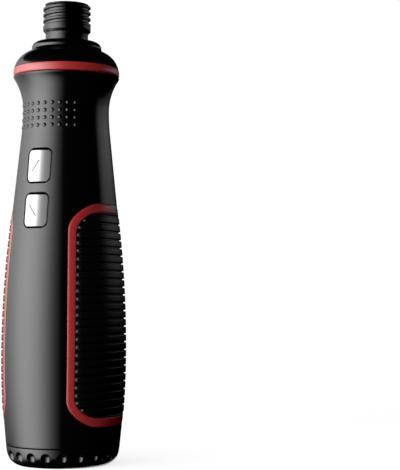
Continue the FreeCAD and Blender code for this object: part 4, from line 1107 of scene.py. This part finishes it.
@dataclass
class Head:
    """Red ring, domed head and threaded nose.

    Attributes:
        palette: Materials.
        threads: Node group that presses the thread.
    """

    palette: Palette
    threads: NodeGroup
    segments: int = 192
    ring_inner: float = 15.0525
    ring_bottom: float = OUTLINE.top_level
    ring_top: float = 132.05
    ring_under: float = 0.9
    ring_edge: float = 0.12
    ring_edge_room: float = 0.25
    ring_edge_steps: int = 5
    ring_steps: int = 7
    lip_radius: float = OUTLINE.lip_radius
    dome_radius: float = 8.0
    dome_level: float = 130.25
    dome_inset: float = 0.2
    dome_lift: float = 0.15
    dome_steps: int = 28
    boss_radius: float = 11.7
    boss_top: float = 141.1
    boss_edge: float = 2.0
    boss_steps: int = 12
    fillet: float = 1.3
    fillet_steps: int = 14
    cap_bore: float = 8.22
    cap_mouth: float = 8.4
    cap_mouth_depth: float = 0.15
    cap_floor: float = 134.8
    seat_radius: float = 11.25
    seat_gap: float = 0.05
    thread_pitch: float = 2.0
    thread_depth: float = 0.62
    thread_crest: float = 0.15
    thread_flank: float = 0.18
    thread_radius: float = 8.0
    thread_start: float = 146.4
    thread_end: float = 153.7
    thread_lead: float = 0.1
    thread_row: float = 0.07
    thread_fade: float = 0.5
    thread_taper: float = 0.75
    nose_top: float = 154.0
    tip_inset: float = 0.62
    tip_drop: float = 0.08
    tip_fade: float = 0.3
    rim_inset: float = 0.75
    relief_radius: float = 7.14
    relief_low: float = 141.25
    relief_high: float = 144.1
    relief_fillet: float = 0.15
    relief_edge: float = 0.05
    cone_rise: float = 0.85
    cone_inset: float = 0.06
    chamfer: float = 0.1
    shoulder_radius: float = 8.16
    mouth_radius: float = 5.554
    mouth_chamfer: float = 0.3
    bore_radius: float = 6.164
    bore_top: float = 152.0
    flange_radius: float = 11.01
    flange_low: float = 134.5
    flange_top: float = 137.5

    def dome_at(self, level: float) -> float:
        """Radius of the dome at a level."""
        rise = level - self.dome_level
        return self.lip_radius - self.dome_radius + math.sqrt(self.dome_radius ** 2 - rise ** 2)

    def ring(self) -> Object:
        """Make the red ring.

        Returns:
            The turned ring.
        """
        levels = np.linspace(self.dome_level, self.ring_top - self.ring_edge_room, self.ring_steps)
        top = self.dome_at(self.ring_top)
        lean = math.atan2(self.dome_at(levels[-1]) - top, self.ring_edge_room)
        inset = self.ring_edge * (1 - math.sin(lean)) / math.cos(lean)
        under = (self.lip_radius - self.ring_under, self.ring_bottom + self.ring_under)
        edge = (top - inset, self.ring_top - self.ring_edge)
        section = [
            (self.ring_inner, self.ring_bottom),
            *arc(under, self.ring_under, -90, 0, self.ring_edge_steps),
            *((self.dome_at(level), level) for level in levels),
            *arc(edge, self.ring_edge, math.degrees(lean), 90, self.ring_edge_steps),
            (self.ring_inner, self.ring_top),
        ]
        return turned("red_ring", section, self.segments)

    def cap(self) -> Object:
        """Make the domed head with its boss.

        Returns:
            The turned cap.
        """
        centre = (self.lip_radius - self.dome_radius, self.dome_level)
        gap = self.boss_radius + self.fillet - centre[0]
        reach = self.dome_radius + self.fillet
        meet = math.degrees(math.acos(gap / reach))
        rise = math.sqrt(reach ** 2 - gap ** 2)
        lift = self.ring_top + self.dome_lift - self.dome_level
        start = math.degrees(math.asin(lift / self.dome_radius))
        root = (self.boss_radius + self.fillet, self.dome_level + rise)
        edge = (self.boss_radius - self.boss_edge, self.boss_top - self.boss_edge)
        seat = self.flange_top + self.seat_gap
        section = [
            (self.ring_inner, self.ring_top),
            (self.dome_at(self.ring_top) - self.dome_inset, self.ring_top),
            *arc(centre, self.dome_radius, start, meet, self.dome_steps),
            *arc(root, self.fillet, 180 + meet, 180, self.fillet_steps)[1:],
            *arc(edge, self.boss_edge, 0, 90, self.boss_steps),
            (self.cap_mouth, self.boss_top),
            (self.cap_bore, self.boss_top - self.cap_mouth_depth),
            (self.cap_bore, seat),
            (self.seat_radius, seat),
            (self.seat_radius, self.cap_floor),
            (self.ring_inner, self.cap_floor),
        ]
        return turned("head_cap", section, self.segments)

    def nose(self) -> Object:
        """Make the nose with its helical thread.

        Returns:
            The closed nose.
        """
        cone_top = self.relief_high + self.cone_rise
        lower = [
            (self.bore_radius, self.flange_low),
            (self.flange_radius, self.flange_low),
            (self.flange_radius, self.flange_top),
            (self.shoulder_radius, self.flange_top),
            (self.shoulder_radius, self.relief_low - self.chamfer),
            (self.shoulder_radius - self.chamfer, self.relief_low),
            (self.relief_radius + self.relief_fillet, self.relief_low),
            (self.relief_radius, self.relief_low + self.relief_fillet),
            (self.relief_radius, self.relief_high - self.chamfer),
            (self.relief_radius + self.relief_edge, self.relief_high),
            (self.thread_radius - self.cone_inset, cone_top),
            (self.thread_radius, cone_top + self.chamfer),
        ]
        levels = np.arange(self.thread_start - self.thread_lead, self.thread_end, self.thread_row)
        fade = np.clip((levels - self.thread_start) / self.thread_fade, 0.0, 1.0)
        taper = np.maximum(levels - (self.thread_end - self.thread_fade), 0.0) * self.thread_taper
        upper = [
            (self.thread_radius - self.tip_inset, self.nose_top - self.tip_drop),
            (self.thread_radius - self.rim_inset, self.nose_top),
            (self.mouth_radius + self.mouth_chamfer, self.nose_top),
            (self.mouth_radius, self.nose_top - self.mouth_chamfer),
            (self.mouth_radius, self.bore_top),
            (self.bore_radius, self.bore_top),
        ]
        section = [*lower, *zip(self.thread_radius - taper, levels), *upper]
        nose = turned("threaded_nose", section, self.segments)
        fades = [*np.zeros(len(lower)), *fade, self.tip_fade, *np.zeros(len(upper) - 1)]
        store(nose, "fade", np.tile(fades, self.segments))
        return self.threads.run(
            nose,
            Pitch=self.thread_pitch * MM,
            Depth=self.thread_depth * MM,
            Crest=self.thread_crest,
            Flank=self.thread_flank,
            Material=self.palette.made["nose_black"],
        )

    def build(self) -> None:
        """Make the ring, cap and nose and put them in place."""
        for obj, slot, node in (
            (self.ring(), "trim_red", "head_ring"),
            (self.cap(), "body_black", "nose_cap"),
            (self.nose(), "nose_black", "nose_bushing"),
        ):
            self.palette.paint(obj, slot)
            settle(obj, "housing", slot, node)


@dataclass
class EndCap:
    """Twist-off cap with scallops round its corner.

    Attributes:
        palette: Materials.
    """

    palette: Palette
    foot_radius: float = 14.9
    rim_radius: float = OUTLINE.base_radius
    rim_level: float = 6.4
    corner_radius: float = 18.6
    corner_level: float = 4.4
    corner_sweep: float = 5.5
    scallops: int = 22
    scallop_ring: float = 19.2
    scallop_level: float = 3.25
    scallop_ball: float = 2.0
    floor: float = 2.4
    collar_inner: float = 8.0
    collar_radius: float = 9.25
    collar_top: float = 9.5
    pole: float = 0.02
    foot_band: float = 0.9
    edge: float = 0.07
    edge_steps: int = 4
    corner_steps: int = 16
    segments: int = 200

    def corner(self) -> list[Point]:
        """Points of the rounded lower corner from the foot up.

        Returns:
            The points in order.
        """
        low = Vector((self.foot_radius, 0.0))
        high = Vector((self.corner_radius, self.corner_level))
        chord = high - low
        side = Vector((-chord.y, chord.x)).normalized()
        centre = (low + high) / 2 + side * math.sqrt(self.corner_sweep ** 2 - chord.length_squared / 4)
        start = math.degrees(math.atan2(low.y - centre.y, low.x - centre.x))
        end = math.degrees(math.atan2(high.y - centre.y, high.x - centre.x))
        return arc(tuple(centre), self.corner_sweep, start, end, self.corner_steps)

    def build(self, balls: NodeGroup) -> None:
        """Make the cap, cut its scallops and put it in place.

        Args:
            balls: Node group that sets balls on points.
        """
        rim = (self.rim_radius - self.edge, self.rim_level - self.edge)
        section = [
            (self.pole, 0.0),
            (self.foot_radius - self.foot_band, 0.0),
            *self.corner(),
            *arc(rim, self.edge, 0, 90, self.edge_steps),
            (self.collar_radius, self.rim_level),
            (self.collar_radius, self.collar_top),
            (self.collar_inner, self.collar_top),
            (self.collar_inner, self.floor),
            (self.pole, self.floor),
        ]
        cap = turned("scalloped_cap", section, self.segments)
        angles = np.arange(self.scallops) * FULL_TURN / self.scallops
        spots = mesh_object("scallops", circle(self.scallop_ring, angles, self.scallop_level), [])
        material = self.palette.made["body_black"]
        cutter = balls.run(spots, Radius=self.scallop_ball * MM, Material=material)
        carve(cap, cutter)
        self.palette.paint(cap, "body_black")
        settle(cap, "end_cap", "body_black", "end_cap")


# Stage, light and camera

@dataclass(frozen=True)
class Panel:
    """Soft light panel bent round the tool.

    Attributes:
        name: Name of the panel.
        start: First bearing in degrees.
        end: Last bearing in degrees.
        strength: Strength of the glow.
        steady: Share of the glow along the panel that is even up its height.
        rising: Share of the glow along the panel that follows the upward ramp.
        upward: Ramp of the rising share from the bottom to the top.
        fade: Share of the whole glow from the bottom to the top.
    """

    name: str
    start: float
    end: float
    strength: float
    steady: Ramp
    rising: Ramp
    upward: Ramp
    fade: Ramp

    def material(self) -> Material:
        """Make the glowing material.

        Returns:
            The material, which reads the wall's UV.
        """
        material = bpy.data.materials.new(self.name)
        wiring = blank_tree(material)
        sheet = wiring.node("ShaderNodeUVMap")
        sheet.uv_map = "wall"
        along, up, _ = wiring.node("ShaderNodeSeparateXYZ", Vector=sheet).outputs
        rising = wiring.product(wiring.curve(self.rising, along), wiring.curve(self.upward, up))
        level = wiring.math("ADD", rising, wiring.curve(self.steady, along))
        glow = wiring.product(level, wiring.curve(self.fade, up), self.strength)
        light = wiring.node("ShaderNodeEmission", Strength=glow)
        wiring.node("ShaderNodeOutputMaterial", Surface=light)
        return material


PANELS = (
    Panel(
        "left_panel", -180.0, -4.0, 3.5,
        steady=(
            (0.0, 0.0), (0.085, 0.006), (0.17, 0.017), (0.283, 0.071), (0.398, 0.27), (0.511, 0.62),
            (0.625, 0.82), (0.739, 0.68), (0.796, 0.495), (0.852, 0.31), (0.881, 0.205), (0.909, 0.135),
            (0.924, 0.1), (0.945, 0.06), (0.966, 0.032), (0.977, 0.014), (0.989, 0.002), (1.0, 0.0),
        ),
        rising=(
            (0.0, 0.11), (0.085, 0.12), (0.17, 0.137), (0.283, 0.26), (0.398, 0.286), (0.511, 0.186),
            (0.625, 0.07), (0.739, 0.0), (1.0, 0.0),
        ),
        upward=(
            (0.0, 0.0), (0.445, 0.0), (0.49, 0.2), (0.536, 0.34), (0.594, 0.55), (0.65, 0.75),
            (0.695, 0.87), (0.78, 1.0), (1.0, 1.0),
        ),
        fade=((0.0, 0.0), (0.12, 0.35), (0.25, 0.8), (0.4, 1.0), (0.85, 1.0), (1.0, 0.5)),
    ),
    Panel(
        "right_panel", 84.0, 160.0, 0.45,
        steady=((0.0, 0.0), (1.0, 0.0)),
        rising=(
            (0.0, 0.0), (0.08, 0.4), (0.21, 0.85), (0.34, 1.0), (0.6, 0.85), (0.8, 0.45), (0.95, 0.1),
            (1.0, 0.0),
        ),
        upward=(
            (0.0, 0.0), (0.6, 0.0), (0.655, 0.2), (0.705, 0.42), (0.757, 0.8), (0.785, 1.0), (0.815, 1.0),
            (0.84, 0.3), (0.86, 0.0), (1.0, 0.0),
        ),
        fade=((0.0, 1.0), (1.0, 1.0)),
    ),
)


@dataclass
class Studio:
    """White floor and backdrop, soft panels round the tool, and the camera."""

    azimuth: float = 34.0
    distance: float = 470.0
    eye_level: float = 55.0
    frame_height: float = 158.4
    aim_right: float = 45.53
    aim_level: float = 76.66
    roll: float = 0.27
    sensor: float = 36.0
    wall_radius: float = 600.0
    wall_columns: int = 48
    flag_radius: float = 640.0
    flag_bearing: float = 140.0
    flag_pole: float = 0.001
    back_low: float = -150.0
    wall_low: float = -620.0
    wall_high: float = 480.0
    flag_finish: Finish = Finish((0.0, 0.0, 0.0), 0.5, specular=0.0)
    floor_radius: float = 260.0
    floor_step: int = 5
    floor_shade: float = 0.6
    floor_glow: float = 0.82
    fill_bearing: float = -25.0
    fill_distance: float = 700.0
    fill_level: float = 420.0
    fill_size: float = 700.0
    fill_energy: float = 1.8
    fill_aim: float = 70.0
    world_dim: float = 0.08
    near_clip: float = 10.0
    far_clip: float = 20000.0

    def place(self, bearing: float, distance: float, level: float) -> Vector:
        """Place in metres at a bearing right of the camera, a distance from the axis and a level."""
        turn = math.radians(self.azimuth + bearing)
        return Vector((distance * math.sin(turn), -distance * math.cos(turn), level)) * MM

    def hang(self, data: Camera | Light, spot: Vector, aim: Vector) -> Object:
        """Hang a camera or lamp and turn it towards a point.

        Args:
            data: Camera or lamp.
            spot: Its place in metres.
            aim: Point that it faces.

        Returns:
            The object.
        """
        obj = bpy.data.objects.new(data.name, data)
        bpy.context.scene.collection.objects.link(obj)
        obj.location = spot
        obj.rotation_mode = "QUATERNION"
        obj.rotation_quaternion = (aim - spot).to_track_quat("-Z", "Y")
        return obj

    def camera(self) -> None:
        """Set the camera at the photograph's angle."""
        data = bpy.data.cameras.new("camera")
        data.sensor_width = self.sensor
        data.lens = self.sensor * self.distance / self.frame_height
        data.clip_start = self.near_clip * MM
        data.clip_end = self.far_clip * MM
        target = self.place(90.0, self.aim_right, self.aim_level)
        camera = self.hang(data, self.place(0.0, self.distance, self.eye_level), target)
        roll = Quaternion((0.0, 0.0, 1.0), math.radians(self.roll))
        camera.rotation_quaternion = camera.rotation_quaternion @ roll
        bpy.context.scene.camera = camera

    def wall(self, name: str, start: float, end: float, low: Point, high: Point) -> Object:
        """Bend a wall round the tool that lights or darkens it and is not seen itself.

        Args:
            name: Name of the wall.
            start: First bearing in degrees.
            end: Last bearing in degrees.
            low: Radius and level of the first edge.
            high: Radius and level of the other edge.

        Returns:
            The wall, with its share of the length and height as UV.
        """
        wide = self.wall_columns + 1
        bearings = np.linspace(start, end, wide)
        points = [tuple(self.place(bearing, *rim)) for rim in (low, high) for bearing in bearings]
        faces = [(step, step + 1, wide + step + 1, wide + step) for step in range(self.wall_columns)]
        wall = mesh_object(name, np.array(points) / MM, faces)
        sheet = wall.data.uv_layers.new(name="wall")
        for loop in wall.data.loops:
            spot = loop.vertex_index
            sheet.uv[loop.index].vector = (spot % wide / self.wall_columns, spot // wide)
        wall.visible_camera = False
        wall.visible_shadow = False
        return wall

    def flags(self) -> None:
        """Close the room with black cloth behind the panels, seen only in the tool's gloss."""
        cloth = self.flag_finish.material("flag_black")
        low = (self.flag_radius, self.wall_low)
        high = (self.flag_radius, self.wall_high)
        side = self.flag_bearing
        for name, start, end, first, second in (
            ("front_flag", -side, side, low, high),
            ("back_flag", side, FULL_TURN - side, (self.flag_radius, self.back_low), high),
            ("top_flag", -180.0, 180.0, high, (self.flag_pole, self.wall_high)),
            ("under_flag", -180.0, 180.0, (self.flag_pole, self.wall_low), low),
        ):
            flag = self.wall(name, start, end, first, second)
            flag.data.materials.append(cloth)
            flag.visible_diffuse = False

    def panel(self, panel: Panel) -> None:
        """Stand a soft light panel beside the tool.

        Args:
            panel: Place and glow of the panel.
        """
        rims = ((self.wall_radius, self.wall_low), (self.wall_radius, self.wall_high))
        wall = self.wall(panel.name, panel.start, panel.end, *rims)
        wall.data.materials.append(panel.material())

    def fill(self) -> None:
        """Hang a broad soft lamp over the camera that lights colours without a mirrored edge."""
        data = bpy.data.lights.new("fill", "AREA")
        data.shape = "DISK"
        data.size = self.fill_size * MM
        data.energy = self.fill_energy
        spot = self.place(self.fill_bearing, self.fill_distance, self.fill_level)
        lamp = self.hang(data, spot, Vector((0.0, 0.0, self.fill_aim * MM)))
        lamp.visible_camera = False
        lamp.visible_glossy = False

    def world(self) -> None:
        """White where the camera, gloss and glass look past the stage, dim for the light on the tool."""
        world = bpy.data.worlds.new("studio")
        bpy.context.scene.world = world
        wiring = blank_tree(world)
        path = wiring.node("ShaderNodeLightPath").outputs
        shown = path["Is Camera Ray"]
        for kind in ("Is Glossy Ray", "Is Transmission Ray"):
            shown = wiring.math("MAXIMUM", shown, path[kind])
        dim = wiring.node("ShaderNodeBackground", Color=WHITE, Strength=self.world_dim)
        seen = wiring.node("ShaderNodeBackground", Color=WHITE)
        mix = wiring.node("ShaderNodeMixShader", shown, dim, seen)
        wiring.node("ShaderNodeOutputWorld", Surface=mix)

    def floor(self) -> None:
        """Lay a white floor that keeps a soft shadow."""
        bearings = range(0, -int(FULL_TURN), -self.floor_step)
        rim = [tuple(self.place(bearing, self.floor_radius, 0.0)) for bearing in bearings]
        floor = mesh_object("floor", np.array(rim) / MM, [range(len(rim))])
        material = bpy.data.materials.new("floor_white")
        wiring = blank_tree(material)
        shade = self.floor_shade
        paper = wiring.node("ShaderNodeBsdfDiffuse", Color=(shade, shade, shade, 1.0))
        glow = wiring.node("ShaderNodeEmission", Strength=self.floor_glow)
        both = wiring.node("ShaderNodeAddShader", paper, glow)
        wiring.node("ShaderNodeOutputMaterial", Surface=both)
        floor.data.materials.append(material)
        floor.visible_glossy = False
        floor.visible_diffuse = False
        floor.visible_shadow = False

    def build(self) -> None:
        """Set up camera, panels, world and floor."""
        self.camera()
        self.world()
        self.floor()
        self.fill()
        self.flags()
        for panel in PANELS:
            self.panel(panel)
        bpy.context.scene.view_settings.view_transform = "Standard"


def main() -> None:
    """Build every piece, the stage and the camera."""
    logging.basicConfig(level=logging.INFO)
    palette = Palette()
    palette.paint_frame()
    for node in frame["nodes"].values():
        soften(node)
    balls = ball_group()
    ribs = rib_group()
    grips = [Grip(facing, palette, ribs) for facing in (Facing.RIGHT, Facing.LEFT)]
    buttons = [
        Button("forward_button", FORWARD_LEVEL, Slant.RIGHT, palette),
        Button("reverse_button", REVERSE_LEVEL, Slant.LEFT, palette),
    ]
    Housing(grips, buttons, palette).build(balls)
    for piece in (*grips, *buttons):
        piece.build()
    Head(palette, thread_group()).build()
    EndCap(palette).build(balls)
    Studio().build()


if __name__ == "__main__":
    main()
